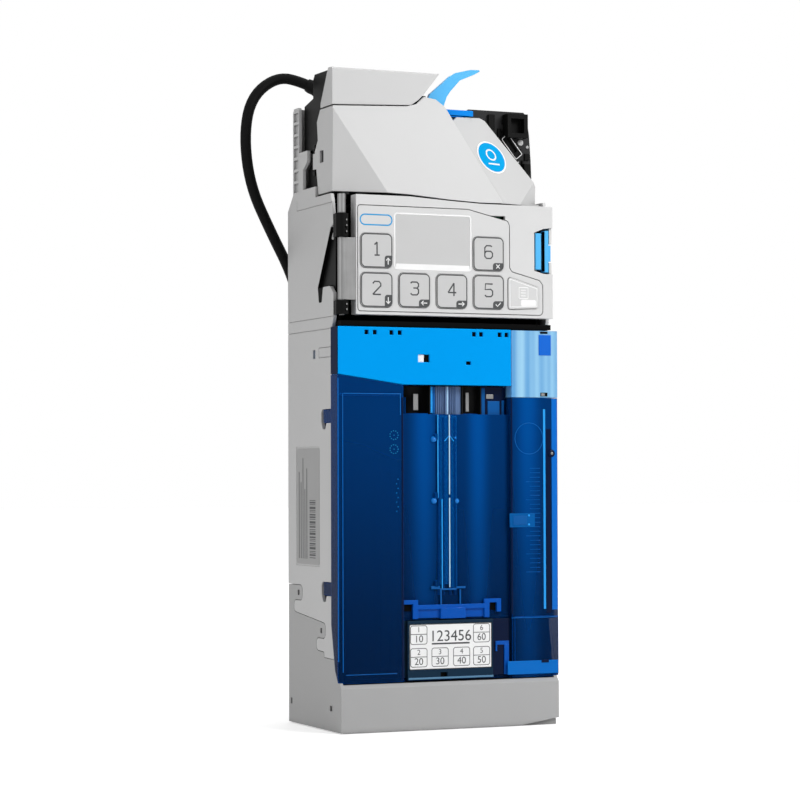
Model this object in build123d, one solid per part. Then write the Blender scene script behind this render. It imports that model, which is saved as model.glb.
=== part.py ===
from build123d import *
import math
import os

# Coin changer: a wall-hung housing with a coin acceptor on top, a hinged keypad door,
# a pull-out coin tube cassette and a payout base.
# Millimetres. +Z is up, the front faces -Y, +X is to the right seen from the front.
# The origin is the centre of the housing's bottom, on the surface it can stand on.

# ---------------------------------------------------------------- driving dimensions
housing_w = 136.0  # over the side walls
base_h = 27.0  # payout base, up to the cassette's seat
cassette_h = 200.0  # coin tube cassette
strip_h = 6.6  # dark strip between the cassette and the door
door_h = 65.2  # keypad door
wall = 2.0  # housing walls
skin = 1.6  # cassette walls
front_y = -40.5  # front of the base
back_y = 40.5  # back of the housing
base_inset = 0.5  # the base's back stands in from the housing's back
door_y = -38.0  # front of the door and of the cassette
wall_front_y = -27.5  # front edge of the side walls beside the cassette
slide_gap = 0.5  # cassette to housing, each side
seam_gap = 0.35  # visible joint between neighbouring housing parts

hinge_pin_r = 1.5
hinge_clear = 0.05  # running clearance, radial
hinge_barrel_r = 2.35
knuckle_r = 3.7
key_travel = 0.6
key_clear = 0.25
key_flange = 0.6
menu_round = 1.5
tube_wall = 1.4
coin_clear = 0.6  # coin to tube, on the radius
deck_t = 2.6
glass_t = 1.4
pcb_t = 1.6
cord_d = 6.4
keyhole_r = 4.5
keyhole_neck_r = 2.3
keyhole_spacing = 76.0
lower_screw_r = 2.3

# ---------------------------------------------------------------- places worked out from them
half_w = housing_w / 2
inner_w = half_w - wall
cas_z = base_h + 0.6
cas_top = cas_z + cassette_h
door_z = cas_top + strip_h + 0.4
door_top = door_z + door_h
acc_z = door_top + 0.2  # datum of the acceptor
cas_w = inner_w - slide_gap  # half width of the cassette between the walls
cas_wide = half_w + 1.0  # half width of its front
cas_back = back_y - wall - 5.0
lid_z = cas_top - 32.3  # underside of the cassette's lids
left = -half_w
right = half_w


def box(x0, x1, y0, y1, z0, z1):
    """A block given by its corners."""
    return Pos((x0 + x1) / 2, (y0 + y1) / 2, (z0 + z1) / 2) * Box(x1 - x0, y1 - y0, z1 - z0)


def outline(points, radius=0.0):
    """A closed flat outline, with every corner rounded if a radius is given."""
    if radius > 0:
        return make_face(FilletPolyline(*points, radius=radius, close=True))
    return make_face(Polyline(*points, close=True))


def prism_x(face, x0, x1):
    """An outline in (Y, Z), from x0 to x1."""
    return extrude(Plane((x0, 0, 0), x_dir=(0, 1, 0), z_dir=(1, 0, 0)) * face, x1 - x0)


def prism_y(face, y0, y1):
    """An outline in (X, Z), from y0 to y1."""
    return extrude(Plane((0, y1, 0), x_dir=(1, 0, 0), z_dir=(0, -1, 0)) * face, y1 - y0)


def prism_z(face, z0, z1):
    """An outline in (X, Y), from z0 to z1."""
    return extrude(Pos(0, 0, z0) * face, z1 - z0)


def rod_x(r, x0, x1, y, z):
    """A round bar along X."""
    return Pos((x0 + x1) / 2, y, z) * Rot(0, 90, 0) * Cylinder(r, x1 - x0)


def rod_y(r, y0, y1, x, z):
    """A round bar along Y."""
    return Pos(x, (y0 + y1) / 2, z) * Rot(90, 0, 0) * Cylinder(r, y1 - y0)


def rod_z(r, z0, z1, x, y):
    """A round bar along Z."""
    return Pos(x, y, (z0 + z1) / 2) * Cylinder(r, z1 - z0)


def slab_behind(a, b, c, inward=0.0):
    """The half space behind the plane through three points, as a large block."""
    normal = (Vector(*b) - Vector(*a)).cross(Vector(*c) - Vector(*a)).normalized()
    if normal.Y > 0:
        normal = normal * -1
    start = Vector(*a) - normal * inward
    return Plane(origin=start, z_dir=normal) * Pos(0, 0, -200) * Box(900, 900, 400)


# ---------------------------------------------------------------- housing
shoulder_z = door_top - 0.8
vent_y = back_y - 8.5
housing_top = acc_z + 58.5
rise = base_h - 27.0  # the seam and the cheeks ride on the base
seam_points = [
    (-60.0, 40.3 + rise),
    (-15.0, 40.8 + rise),
    (-15.0, 44.0 + rise),
    (-3.2, 44.4 + rise),
    (-3.2, 51.9 + rise),
    (-17.2, 51.9 + rise),
    (-17.2, 60.2 + rise),
    (31.7, 64.9 + rise),
    (31.7, 72.0 + rise),
    (18.2, 72.0 + rise),
    (18.2, 80.5 + rise),
    (60.0, 80.6 + rise),
]
seam_radius = [1.1, 1.2, 3.4, 3.4, 3.4, 3.4, 3.4, 3.4, 3.4, 3.4]


def below_seam(lift):
    """Everything under the S-shaped joint between the base's cheeks and the housing's walls."""
    top = FilletPolyline(*seam_points, radius=seam_radius)
    closing = Polyline(seam_points[-1], (60, -20), (-60, -20), seam_points[0])
    face = make_face([top, closing])
    if lift > 0:
        face = offset(face, lift, kind=Kind.INTERSECTION)
    return face


def hook_slot(z):
    """The open-fronted hook-shaped slot that a cassette lug runs in."""
    points = [
        (-60.0, z),
        (-19.0, z),
        (-17.6, z - 3.4),
        (-13.6, z - 3.4),
        (-11.4, z + 1.0),
        (-11.4, z + 6.0),
        (-13.4, z + 8.0),
        (-60.0, z + 8.0),
    ]
    return outline(points, 0.6)


lug_z = [base_h + 48.9, cas_top - 54.0]
keyhole_z = door_z + 18.0
lower_screw_z = base_h + 70.0
lever_boss_r = 2.0
lever_boss_y = -24.5
lever_boss_z = door_top - 20.5
lever_cut = [
    (-31.0, door_top - 13.6),
    (-26.2, door_top - 15.6),
    (-6.4, door_top - 48.6),
    (-8.0, door_top - 57.4),
    (-12.4, door_top - 57.4),
    (-14.4, door_top - 48.8),
    (-24.6, door_top - 48.8),
    (-31.0, door_top - 54.0),
]


def chassis_shell():
    """The U-shaped housing: back wall, two side walls and the louvred upper back."""
    side = [
        (-38.0, base_h),
        (-33.0, base_h + 8),
        (wall_front_y, base_h + 33),
        (wall_front_y, cas_top - 1),
        (wall_front_y - 2.5, cas_top + 6),
        (wall_front_y - 2.5, door_top - 12),
        (wall_front_y, door_top),
        (wall_front_y + 1.5, acc_z + 3.4),
        (-3.0, acc_z + 3.4),
        (-3.0, acc_z + 9.6),
        (16.3, acc_z + 9.6),
        (16.3, acc_z + 21.2),
        (9.6, acc_z + 25.6),
        (9.6, acc_z + 31.8),
        (22.6, acc_z + 31.8),
        (22.6, acc_z + 57.0),
        (24.0, housing_top),
        (vent_y - 1.5, housing_top),
        (vent_y, housing_top - 2.5),
        (vent_y, shoulder_z + 9),
        (back_y, shoulder_z),
        (back_y, base_h),
    ]
    hollow = [
        (-90.0, 0.0),
        (back_y - wall, 0.0),
        (back_y - wall, shoulder_z - 0.6),
        (vent_y - wall, shoulder_z + 8),
        (vent_y - wall, housing_top + 20),
        (-90.0, housing_top + 20),
    ]
    face = outline(side) - below_seam(seam_gap)
    shell = prism_x(face, left, right) - prism_x(outline(hollow), -inner_w, inner_w)
    shell -= box(-inner_w, inner_w, back_y - wall - 1, back_y + 1, 0, 80.6 + rise + seam_gap)
    for z in lug_z:
        shell -= prism_x(hook_slot(z), left - 1, right + 1)
    shell -= prism_x(outline(lever_cut, 1.2), left - 1, left + wall + 1)
    tab_z = cas_top - 16.8
    for side_x in (left, right):
        x0, x1 = side_x - 1, side_x + 1
        # shallow joint lines, the label's bed, the tab and the small slot behind it
        shell -= box(side_x - 0.35, side_x + 0.35, -60, back_y + 1, cas_top - 0.8, cas_top - 0.4)
        shell -= box(side_x - 0.35, side_x + 0.35, -60, back_y + 1, door_z - 1.1, door_z - 0.7)
        shell -= box(side_x - 0.35, side_x + 0.35, -60, 26, door_top - 1.8, door_top - 1.4)
        shell -= box(side_x - 0.35, side_x + 0.35, 25.6, 26, door_top - 1.8, acc_z + 4)
        shell -= box(side_x - 0.3, side_x + 0.3, -8.8, 27.6, base_h + 65, base_h + 133.6)
        tab = box(x0, x1, -60, -8, tab_z, tab_z + 6.0) - box(x0, x1, -60, -8.4, tab_z + 0.4, tab_z + 5.6)
        shell -= tab & box(side_x - 0.4, side_x + 0.4, -60, 60, 0, 400)
        shell -= box(side_x - 2.6, side_x + 2.6, -2.5, 1.2, tab_z, tab_z + 5.0)
        for i in range(7):
            z = shoulder_z + 10.2 + i * 6.9
            shell -= box(side_x - 1.3, side_x + 1.3, vent_y - 8.6, vent_y - 1.2, z, z + 5.2)
    for x in (-keyhole_spacing / 2, keyhole_spacing / 2):
        shell -= rod_y(keyhole_r, back_y - 5, back_y + 5, x, keyhole_z)
        shell -= box(x - keyhole_neck_r, x + keyhole_neck_r, back_y - 5, back_y + 5, keyhole_z, keyhole_z + 10)
        shell -= rod_y(keyhole_neck_r, back_y - 5, back_y + 5, x, keyhole_z + 10)
    shell -= rod_y(lower_screw_r, back_y - 5, back_y + 5, 0, lower_screw_z)
    # the boss that the release lever turns on
    return shell + rod_x(lever_boss_r, left + wall - 0.1, left + wall + 2.6, lever_boss_y, lever_boss_z)


def base_cover():
    """The payout base: front, sides, back and the cheeks that rise to the seam."""
    back = back_y - base_inset
    side = [
        (front_y, 0.4),
        (front_y, base_h - 2.0),
        (front_y + 2.0, base_h),
        (-33.0, base_h + 8),
        (wall_front_y - 2.6, 43.0 + rise),
        (wall_front_y - 2.6, 90.0 + rise),
        (back, 90.0 + rise),
        (back, 0.4),
    ]
    solid = prism_x(outline(side) & below_seam(0), left, right)
    solid -= box(-inner_w, inner_w, front_y + wall, back - wall, -5, 120)
    solid -= box(-inner_w, inner_w, -90, back - wall, base_h - 0.01, 120)
    rounding = prism_x(outline([(front_y - 1, base_h - 2), (front_y, base_h - 2), (front_y + 2, base_h),
                                (front_y + 2, base_h + 1), (front_y - 1, base_h + 1)]), left - 1, right + 1)
    solid -= rounding - rod_x(2.0, left - 1, right + 1, front_y + 2.0, base_h - 2.0)
    # the front's lower edge climbs towards the right, over the foot
    solid -= prism_y(outline([(right - 24, -1), (right - 24, 0.4), (right + 1, 4.2), (right + 1, -1)]), -60, 60)
    solid -= box(left - 1, left + wall + 1, -27, -23.6, 11.5, 14.6)
    solid -= box(left - 1, left + wall + 1, 34.5, 37, 11.0, 14.4)
    for side_x in (left, right):
        solid -= box(side_x - 3, side_x + 3, 22.9, 25.9, 74.7 + rise, 77.7 + rise)
        solid -= box(side_x - 3, side_x + 3, -12.0, -9.5, 54.5 + rise, 57.5 + rise)
        # ledges that carry the deck
        inner = side_x * inner_w / half_w
        toward = -1 if side_x > 0 else 1
        x0, x1 = sorted((inner, inner + toward * 2.4))
        solid += box(x0, x1, front_y + wall, back - wall, base_h - deck_t - 4, base_h - deck_t)
    return solid


screw_x = half_w - 12.0
screw_y = 30.0
chute_x = 44.0
chute_y = 24.0
cam_spots = [(left + 20.0, 0.0), (left + 71.0, 6.0), (right - 19.0, 0.0)]
cam_z = base_h - deck_t - 3.6
cam_r = 8.0
motor_shaft_r = 1.5


def base_foot():
    """The foot plate, with the opening that coins leave through."""
    edge = inner_w - 0.2
    back = back_y - base_inset - wall - 0.2
    foot = box(-edge, edge, front_y + wall + 0.2, back, 0, 3.2)
    foot += box(edge - 4, right - 0.8, front_y + wall + 0.2, back, 0, 3.2)
    rim = box(-edge, edge, front_y + wall + 0.2, back, 3.2, 8)
    foot += rim - box(-edge + 2, edge - 2, front_y + wall + 2.2, back - 2, 3.2, 9)
    foot -= box(-chute_x, chute_x, -chute_y, chute_y, -1, 10)
    # the bridge that carries the middle motor
    bridge_x = cam_spots[1][0]
    foot += box(bridge_x - 4, bridge_x + 4, -chute_y - 4, chute_y + 4, 3.2, 7.4)
    for x in (-screw_x, screw_x):
        for y in (-screw_y, screw_y):
            foot += rod_z(4.4, 0, base_h - deck_t - 3, x, y)
            foot -= rod_z(1.7, -1, base_h, x, y)
            foot -= rod_z(3.3, -1, 2.4, x, y)
    return foot


def screws():
    """Four pan-head screws that hold the foot to the deck, as one group."""
    group = []
    for x in (-screw_x, screw_x):
        for y in (-screw_y, screw_y):
            screw = rod_z(3.0, 0.3, 2.3, x, y) + rod_z(1.5, 2.2, base_h - deck_t - 0.4, x, y)
            screw -= box(x - 2.4, x + 2.4, y - 0.4, y + 0.4, 0, 1.0)
            screw -= box(x - 0.4, x + 0.4, y - 2.4, y + 2.4, 0, 1.0)
            group.append(screw)
    return Compound(children=group)


# six coin tubes: (x, y, coin diameter); the rear two stand just clear of the cassette's back wall
big_coin = 25.75
rear_tube_y = cas_back - skin - 0.025 - big_coin / 2 - coin_clear - tube_wall
tube_spots = [
    (left + 20.0, rear_tube_y, big_coin),
    (left + 20.0, -18.4, 22.25),
    (left + 53.5, -18.4, 24.25),
    (right - 48.5, -18.4, 19.75),
    (right - 18.2, -18.4, 23.25),
    (right - 19.4, rear_tube_y - 0.2, big_coin),
]
tube_z = cas_z + 2.0
tube_top = cas_top - 39.2


def tube_bore(i):
    """Inner radius of a coin tube."""
    return tube_spots[i][2] / 2 + coin_clear


def payout_deck():
    """The plate under the cassette, with a coin well under each tube."""
    back = back_y - base_inset - wall - 0.15
    deck = box(-inner_w + 0.15, inner_w - 0.15, front_y + wall + 0.15, back, base_h - deck_t, base_h)
    for i, (x, y, _) in enumerate(tube_spots):
        deck -= rod_z(tube_bore(i) + 0.4, 0, base_h + 1, x, y)
    for x in (-screw_x, screw_x):
        for y in (-screw_y, screw_y):
            deck += rod_z(4.4, base_h - deck_t - 2.9, base_h - deck_t, x, y)
            deck -= rod_z(1.6, 0, base_h - deck_t - 0.2, x, y)
    return deck


def payout_motors():
    """Three gear motors, standing on the foot, each with its upright shaft."""
    group = []
    for x, y in cam_spots:
        motor = rod_z(7.5, 9.0, cam_z - 1.2, x, y) + rod_z(3.0, cam_z - 1.3, cam_z - 0.3, x, y)
        motor += rod_z(motor_shaft_r, cam_z - 1.3, cam_z + 3.0, x, y)
        motor += box(x - 9, x + 9, y - 5, y + 5, 9.0, 11.0)
        motor += box(x - 3, x + 3, y - 7, y + 7, 3.2 if abs(x) > chute_x else 7.4, 9.2)
        group.append(motor)
    return Compound(children=group)


def payout_cam(i):
    """A cam on a motor shaft that pushes the lowest coin out of its well."""
    x, y = cam_spots[i]
    cam = rod_z(cam_r - 2, cam_z, cam_z + 2.6, x, y)
    nose = [(x, y - 3.4), (x + cam_r + 1.5, y - 2.0), (x + cam_r + 1.5, y + 2.0), (x, y + 3.4)]
    cam += prism_z(outline(nose, 0.8), cam_z, cam_z + 2.6)
    return cam - rod_z(motor_shaft_r + hinge_clear, cam_z - 1, cam_z + 4, x, y)


def main_board():
    """The control board on the back wall, with its parts and stand-offs."""
    y = back_y - wall
    board = box(left + 10, right - 10, y - 1.4 - pcb_t, y - 1.4, base_h + 56, cas_top - 12)
    for x in (left + 14, right - 14):
        for z in (base_h + 60, cas_top - 16):
            board += rod_y(2.5, y - 1.5, y, x, z)
    return board - box(-8, 8, y - 6, y + 1, lower_screw_z - 8, lower_screw_z + 8)


# ---------------------------------------------------------------- cassette
panel_x0 = left + 39.5
panel_x1 = right - 28.8
panel_y = door_y + 3.0
slant_z0 = lid_z + 6.4


def cassette_plan(inset):
    """The cassette's outline seen from above, moved inwards by the wall."""
    return outline([
        (-cas_wide + inset, door_y + inset),
        (cas_wide - inset, door_y + inset),
        (cas_wide - inset, wall_front_y - 0.7 - inset),
        (cas_w - inset, wall_front_y - 0.7 - inset),
        (cas_w - inset, cas_back - inset),
        (-cas_w + inset, cas_back - inset),
        (-cas_w + inset, wall_front_y - 0.7 - inset),
        (-cas_wide + inset, wall_front_y - 0.7 - inset),
    ])


def cassette_body():
    """The translucent box that holds the tubes, with its side lugs."""
    body = prism_z(cassette_plan(0), cas_z, slant_z0 + 1)
    body -= prism_z(cassette_plan(skin), base_h + 34, slant_z0 + 5)
    low = outline([(-cas_w + skin, door_y + skin), (cas_w - skin, door_y + skin),
                   (cas_w - skin, cas_back - skin), (-cas_w + skin, cas_back - skin)])
    body -= prism_z(low, cas_z + 2.0, base_h + 35)
    # the walls lean forward below, so the wide front keeps clear of them
    lean = [(door_y - 0.7, base_h - 1), (door_y - 0.7, base_h), (-33.7, base_h + 8), (wall_front_y - 0.7, base_h + 33),
            (0, base_h + 33), (0, base_h - 1)]
    for sign in (-1, 1):
        x0, x1 = sorted((sign * cas_w, sign * (cas_wide + 1)))
        body -= prism_x(outline(lean), x0, x1)
    # the upper edge: slanted at the left, level in the middle, lower at the right
    top = [(left - 9, slant_z0), (panel_x0, lid_z - 0.4), (right - 29.2, lid_z - 0.4),
           (right - 29.2, lid_z - 6.9), (right + 9, lid_z - 6.9), (right + 9, slant_z0 + 9), (left - 9, slant_z0 + 9)]
    body -= prism_y(outline(top), -90, 90)
    # the middle bay, open to the front
    body -= box(panel_x0 - 0.2, panel_x1 + 0.2, door_y - 1, door_y + 3.0, cas_z - 1, lid_z + 9)
    for x in (panel_x0 - 0.2 - skin, panel_x1 + 0.2):
        body += box(x, x + skin, door_y, door_y + 6.6, cas_z, lid_z - 7)
    # step and bright band low on the right column
    body += box(panel_x1 + 1.8, cas_wide, door_y - 0.3, door_y + 0.01, cas_z + 1.6, cas_z + 34.8)
    body += box(left + 0.5, panel_x0 - 1.8, door_y - 0.3, door_y + 0.01, lid_z - 6.4, lid_z - 5.4)
    for i, (x, y, _) in enumerate(tube_spots):
        body -= rod_z(tube_bore(i), cas_z - 1, cas_z + 3, x, y)
    for z in lug_z:
        for sign in (-1, 1):
            x0, x1 = sorted((sign * (cas_w - 0.2), sign * (half_w - 0.3)))
            body += box(x0, x1, wall_front_y - 0.7, -14.2, z + 0.4, z + 7.6)
    return body


def coin_tube(i):
    """One coin tube; the two middle ones are open to the front at the top."""
    x, y, _ = tube_spots[i]
    bore = tube_bore(i)
    tube = rod_z(bore + tube_wall, tube_z, tube_top, x, y) - rod_z(bore, tube_z - 1, tube_top + 1, x, y)
    if i in (2, 3):
        tube -= box(x - bore * 0.7, x + bore * 0.7, y - 40, y, lid_z - 16, tube_top + 1)
    else:
        tube -= box(x - 2, x + 2, y - 40, y, tube_top - 22, tube_top + 1)
    return tube


def middle_panel():
    """The recessed panel in front of the middle tubes, with its rails and lugs."""
    z0 = cas_z + 34.4
    z1 = lid_z - 16.6
    panel = box(panel_x0, panel_x1, panel_y, panel_y + skin, z0, z1)
    for x in (left + 62.3, left + 65.1, left + 69.4, left + 72.3):
        panel += box(x - 0.5, x + 0.5, panel_y - 1.0, panel_y + 0.1, z0 + 14, z1 - 2)
    for z in (z1 - 14.5, z1 - 48, z1 - 98):
        panel += box(left + 59.6, left + 61.4, panel_y - 1.6, panel_y + 0.1, z, z + 3.4)
    panel -= box(left + 40.4, left + 45.6, panel_y - 3, panel_y + 4, z0 + 5.2, z0 + 9.4)
    panel -= box(left + 93.2, left + 98.4, panel_y - 3, panel_y + 4, z0 + 4.6, z0 + 9.4)
    return panel


def cassette_latch():
    """The spring catch above the label that locks the cassette into the base."""
    z = cas_z + 34.4
    y0 = door_y + 0.9
    y1 = panel_y - 0.2
    x0, x1 = left + 45.4, right - 42.7
    post = 3.1
    bar = box(x0, x1, y0, y1, z + 6.0, z + 8.5)
    bar += box(left + 62.5, right - 58.2, y0 - 0.6, y1, z + 0.6, z + 6.5)
    bar += box(x0, x1, y1 - 0.6, y1, z + 1.0, z + 6.2)
    # a hooked arm at each end
    bar += box(x0, x0 + post, y0, y1, z + 0.6, z + 11.4)
    bar += box(left + 39.9, x0 + post, y0, y1, z + 9.0, z + 11.4)
    bar += box(x1 - post, x1, y0, y1, z + 0.6, z + 11.2)
    bar += box(x1 - post, x1 + 7.4, y0, y1, z + 9.0, z + 11.2)
    bar += box(x1 + 4.8, x1 + 7.4, y0, y1, z + 3.7, z + 11.2)
    return bar


label_x0 = left + 41.7
label_x1 = right - 41.0
label_z0 = cas_z + 0.6
label_z1 = cas_z + 34.1


def label_holder():
    """The framed plate low in the middle bay that holds the card."""
    plate = box(label_x0, label_x1, door_y, door_y + 2.8, label_z0, label_z1)
    plate += box(panel_x0, panel_x1, door_y + 2.4, door_y + 4.2, cas_z + 2.0, label_z1)
    plate -= box(label_x0 + 0.8, label_x1 - 0.6, door_y - 1, door_y + 0.5, label_z0 + 5.6, label_z1 - 1.8)
    return plate - box(-6.0, -1.6, door_y - 1, door_y + 2, label_z0 - 1, label_z0 + 4)


def label_card():
    """The card in the holder."""
    card = outline([(label_x0 + 1.0, label_z0 + 5.8), (label_x1 - 0.8, label_z0 + 5.8),
                    (label_x1 - 0.8, label_z1 - 2.0), (label_x0 + 1.0, label_z1 - 2.0)], 1.6)
    return prism_y(card, door_y + 0.1, door_y + 0.5)


def lid_shell(x0, x1, z0, z1, wide_left, wide_right):
    """A lid over some of the tubes: wider in front of the side walls than between them."""
    def plan(inset):
        left_front = -cas_wide if wide_left else x0
        left_rear = -cas_w if wide_left else x0
        right_front = cas_wide if wide_right else x1
        right_rear = cas_w if wide_right else x1
        step = wall_front_y - 0.7 - inset
        return outline([
            (left_front + inset, door_y - 0.2 + inset), (right_front - inset, door_y - 0.2 + inset),
            (right_front - inset, step), (right_rear - inset, step - 0.01),
            (right_rear - inset, cas_back - inset), (left_rear + inset, cas_back - inset),
            (left_rear + inset, step - 0.01), (left_front + inset, step),
        ])
    return prism_z(plan(0), z0, z1) - prism_z(plan(skin), z0 - 1, z1 - 2.0)


lid_split = right - 28.9


def cassette_cover():
    """The bright lid over four tubes; coins drop in through its round holes."""
    lid = lid_shell(-cas_w, lid_split, lid_z, cas_top, True, False)
    lid -= prism_y(outline([(left - 9, slant_z0 + 0.4), (panel_x0, lid_z), (left - 9, lid_z - 1)]), -90, 90)
    for i in range(4):
        x, y, _ = tube_spots[i]
        lid -= rod_z(tube_bore(i), cas_top - 5, cas_top + 1, x, y)
    hole_x = [15.5, 20.6, 30.8, 35.9, 82.4, 86.9, 98.7, 103.1]
    for x in hole_x:
        lid -= box(left + x, left + x + 2.6, door_y - 1, door_y + 3, cas_top - 4.3, cas_top - 1.7)
    lid -= box(left + 48.5, left + 55.7, door_y - 1, door_y + 3, lid_z + 12.8, lid_z + 17.2)
    return lid - box(left + 78.5, left + 81.7, door_y - 1, door_y + 3, lid_z + 11.7, lid_z + 13.7)


def cassette_end_cap():
    """The paler lid over the two right-hand tubes."""
    cap = lid_shell(lid_split + 0.3, cas_w, lid_z - 6.6, cas_top - 0.2, False, True)
    for i in (4, 5):
        x, y, _ = tube_spots[i]
        cap -= rod_z(tube_bore(i), cas_top - 5, cas_top + 1, x, y)
    return cap


# ---------------------------------------------------------------- separator behind the door
sep_w = inner_w - 2.6
sep_z = cas_top + 0.5
sep_top = door_top - 2.0
gate_spots = [(-16.0, sep_z + 27.0), (18.0, sep_z + 20.0)]
gate_pin_r = 1.0


def separator_body():
    """The coin sorting frame: floor with coin wells, back plate, ramps and end plates."""
    frame = box(-inner_w, inner_w, door_y + 2.0, 34, sep_z, sep_z + 3.0)
    frame += box(-sep_w, sep_w, 6, 8, sep_z, sep_top)
    for x0 in (-sep_w, sep_w - 2):
        frame += box(x0, x0 + 2, wall_front_y + 1.5, 8, sep_z, sep_top)
    frame += box(-sep_w, sep_w, -24, 8, sep_top - 2.0, sep_top)
    for x0, z0, x1, z1 in ((-58, 52, -24, 46), (24, 52, 58, 46), (-52, 32, -26, 24), (28, 30, 54, 22)):
        ramp = [(x0, sep_z + z0), (x1, sep_z + z1), (x1, sep_z + z1 + 2), (x0, sep_z + z0 + 2)]
        frame += prism_y(outline(ramp), -20, 6.5)
    frame -= box(-20, 22, -12, -6, sep_top - 5, sep_top + 1)
    for i, (x, y, _) in enumerate(tube_spots):
        frame -= rod_z(tube_bore(i) - 0.5, sep_z - 1, sep_z + 4, x, y)
    for x, z in gate_spots:
        frame += rod_y(gate_pin_r, -16, 6.5, x, z)
    return frame


def sorter_gate(i):
    """A flap that steers a coin left or right, turning on its own pin."""
    x, z = gate_spots[i]
    gate = rod_y(2.4, -15, 4, x, z)
    flap = [(x - 2.0, z), (x + 2.0, z), (x + 0.6, z + 15.0), (x - 0.6, z + 15.0)]
    gate += prism_y(outline(flap), -15, 4)
    return gate - rod_y(gate_pin_r + hinge_clear, -30, 20, x, z)


def solenoids():
    """Two gate solenoids on the back plate, as one group."""
    group = []
    for x, z in gate_spots:
        coil = box(x - 8, x + 8, 8, 20, z - 6, z + 8) + rod_z(2.5, z + 7.9, z + 12, x, 14)
        group.append(coil)
    return Compound(children=group)


# ---------------------------------------------------------------- hinge and door
hinge_x = left + 2.9
hinge_y = door_y + 2.5
knuckle_z = [(door_z - 0.2, door_z + 7.6), (door_z + 43.4, door_z + 56.6)]
leaf_z = (door_z + 8.0, door_z + 43.0)


def hinge_knuckles():
    """The two black hinge blocks on the left wall's front edge, as one group."""
    group = []
    for z0, z1 in knuckle_z:
        block = rod_z(knuckle_r, z0, z1, hinge_x, hinge_y)
        block += box(left, left + 5.5, hinge_y, wall_front_y - 2.5, z0, z1)
        block -= rod_z(hinge_pin_r, z0 - 1, z1 + 1, hinge_x, hinge_y)
        for k in range(2):
            block -= box(hinge_x + 0.6, hinge_x + 1.6, hinge_y - 5, hinge_y - 2.8, z0 + 1.5 + 3 * k, z0 + 3 + 3 * k)
        group.append(block)
    return Compound(children=group)


def hinge_pin():
    """The steel pin, with the shouldered length above the upper knuckle."""
    pin = rod_z(hinge_pin_r, door_z - 0.6, door_top + 2.4, hinge_x, hinge_y)
    return pin + rod_z(hinge_barrel_r, knuckle_z[1][1] + 0.3, door_top + 2.4, hinge_x, hinge_y)


door_x0 = left + 10.6
door_x1 = right - 1.6
door_lip = 2.4
door_back = door_y + 7.5


def hinge_leaf():
    """The bright sheet leaf: a rolled barrel and a strip screwed behind the door's edge."""
    z0, z1 = leaf_z
    leaf = rod_z(hinge_barrel_r, z0, z1, hinge_x, hinge_y)
    leaf += box(hinge_x, door_x0, door_y + 0.15, door_y + 1.35, z0, z1)
    leaf += box(door_x0 - 1.2, door_x0, door_y + 0.15, door_y + 6.5, z0, z1)
    return leaf - rod_z(hinge_pin_r + hinge_clear, z0 - 1, z1 + 1, hinge_x, hinge_y)


# keypad panel outline, from the door's left edge and bottom
panel_corners = [
    (1.2, 2.0), (door_x1 - door_x0 - 8.0, 2.0), (door_x1 - door_x0 - 6.6, 3.6), (door_x1 - door_x0 - 6.6, 19.2),
    (door_x1 - door_x0 - 8.6, 21.8), (97.4, 26.4), (95.8, 28.8), (95.8, 53.0), (94.8, 55.6), (69.6, 61.4),
    (1.2, 61.4),
]
key_size = 19.4
key_spots = [(2.6 + key_size / 2, 36.1), (2.6 + key_size / 2, 13.9), (35.6, 14.2), (59.0, 14.2), (82.3, 14.4), (82.3, 36.4)]
display_box = (23.9, 70.9, 26.6, 57.2)
menu_corners = [(94.9, 4.9), (94.9, 23.6), (114.2, 17.9), (114.2, 5.8)]
latch_window = [(112.0, 27.6), (112.0, 49.8), (118.0, 52.2), (130.0, 53.4), (130.0, 25.6), (118.0, 26.0)]
latch_x = door_x0 + 114.4
latch_y = door_y + 4.4
latch_pin_r = 1.0


def on_door(points):
    """Door outline points as (X, Z)."""
    return [(door_x0 + x, door_z + z) for x, z in points]


def key_outline(i, grow=0.0):
    """One square key with rounded corners."""
    x, z = key_spots[i]
    half = key_size / 2 + grow
    corners = [(x - half, z - half), (x + half, z - half), (x + half, z + half), (x - half, z + half)]
    return outline(on_door(corners), 3.0 + grow)


def menu_outline(grow=0.0):
    """The five-sided key at the right of the keypad."""
    face = outline(on_door(menu_corners), menu_round)
    return offset(face, grow) if grow > 0 else face


def door_frame():
    """The moulded door: front plate, rim and the openings for panel and latch."""
    top = door_top
    shape = [(door_x0, door_z), (door_x1, door_z), (door_x1, top), (left + 88, top),
             (left + 68, top + 0.9), (left + 44, top + 2.4), (door_x0, top + 2.4)]
    door = prism_y(outline(shape), door_y, door_back)
    door -= box(door_x0 + 1.8, door_x1 - 1.8, door_y + door_lip, door_back + 1, door_z + 1.8, top - 1.8)
    door -= prism_y(offset(outline(on_door(panel_corners), 1.5), 0.45), door_y - 1, door_y + glass_t)
    door -= box(door_x0 + 1.9, door_x0 + 93.4, door_y - 1, door_y + 4, door_z + 3.6, door_z + 58.6)
    door -= prism_y(menu_outline(1.5), door_y - 1, door_y + 4)
    window = outline(on_door(latch_window))
    frame_face = offset(window, 1.6, kind=Kind.INTERSECTION)
    inside = box(door_x0, door_x1, door_y, door_back, door_z, door_top)
    door += prism_y(frame_face, door_y, door_back) & inside
    door -= prism_y(window, door_y - 1, door_back + 1)
    # grey stops above and below the latch's outer bar
    for z0, z1 in ((25.7, 32.6), (43.6, 53.2)):
        door += box(door_x1 - 1.6, door_x1, door_y + 1.2, door_back, door_z + z0, door_z + z1)
    # the pin that the latch turns on runs from edge to edge of its window
    return door + rod_z(latch_pin_r, door_z + 27.0, door_z + 51.5, latch_x, latch_y)


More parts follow.
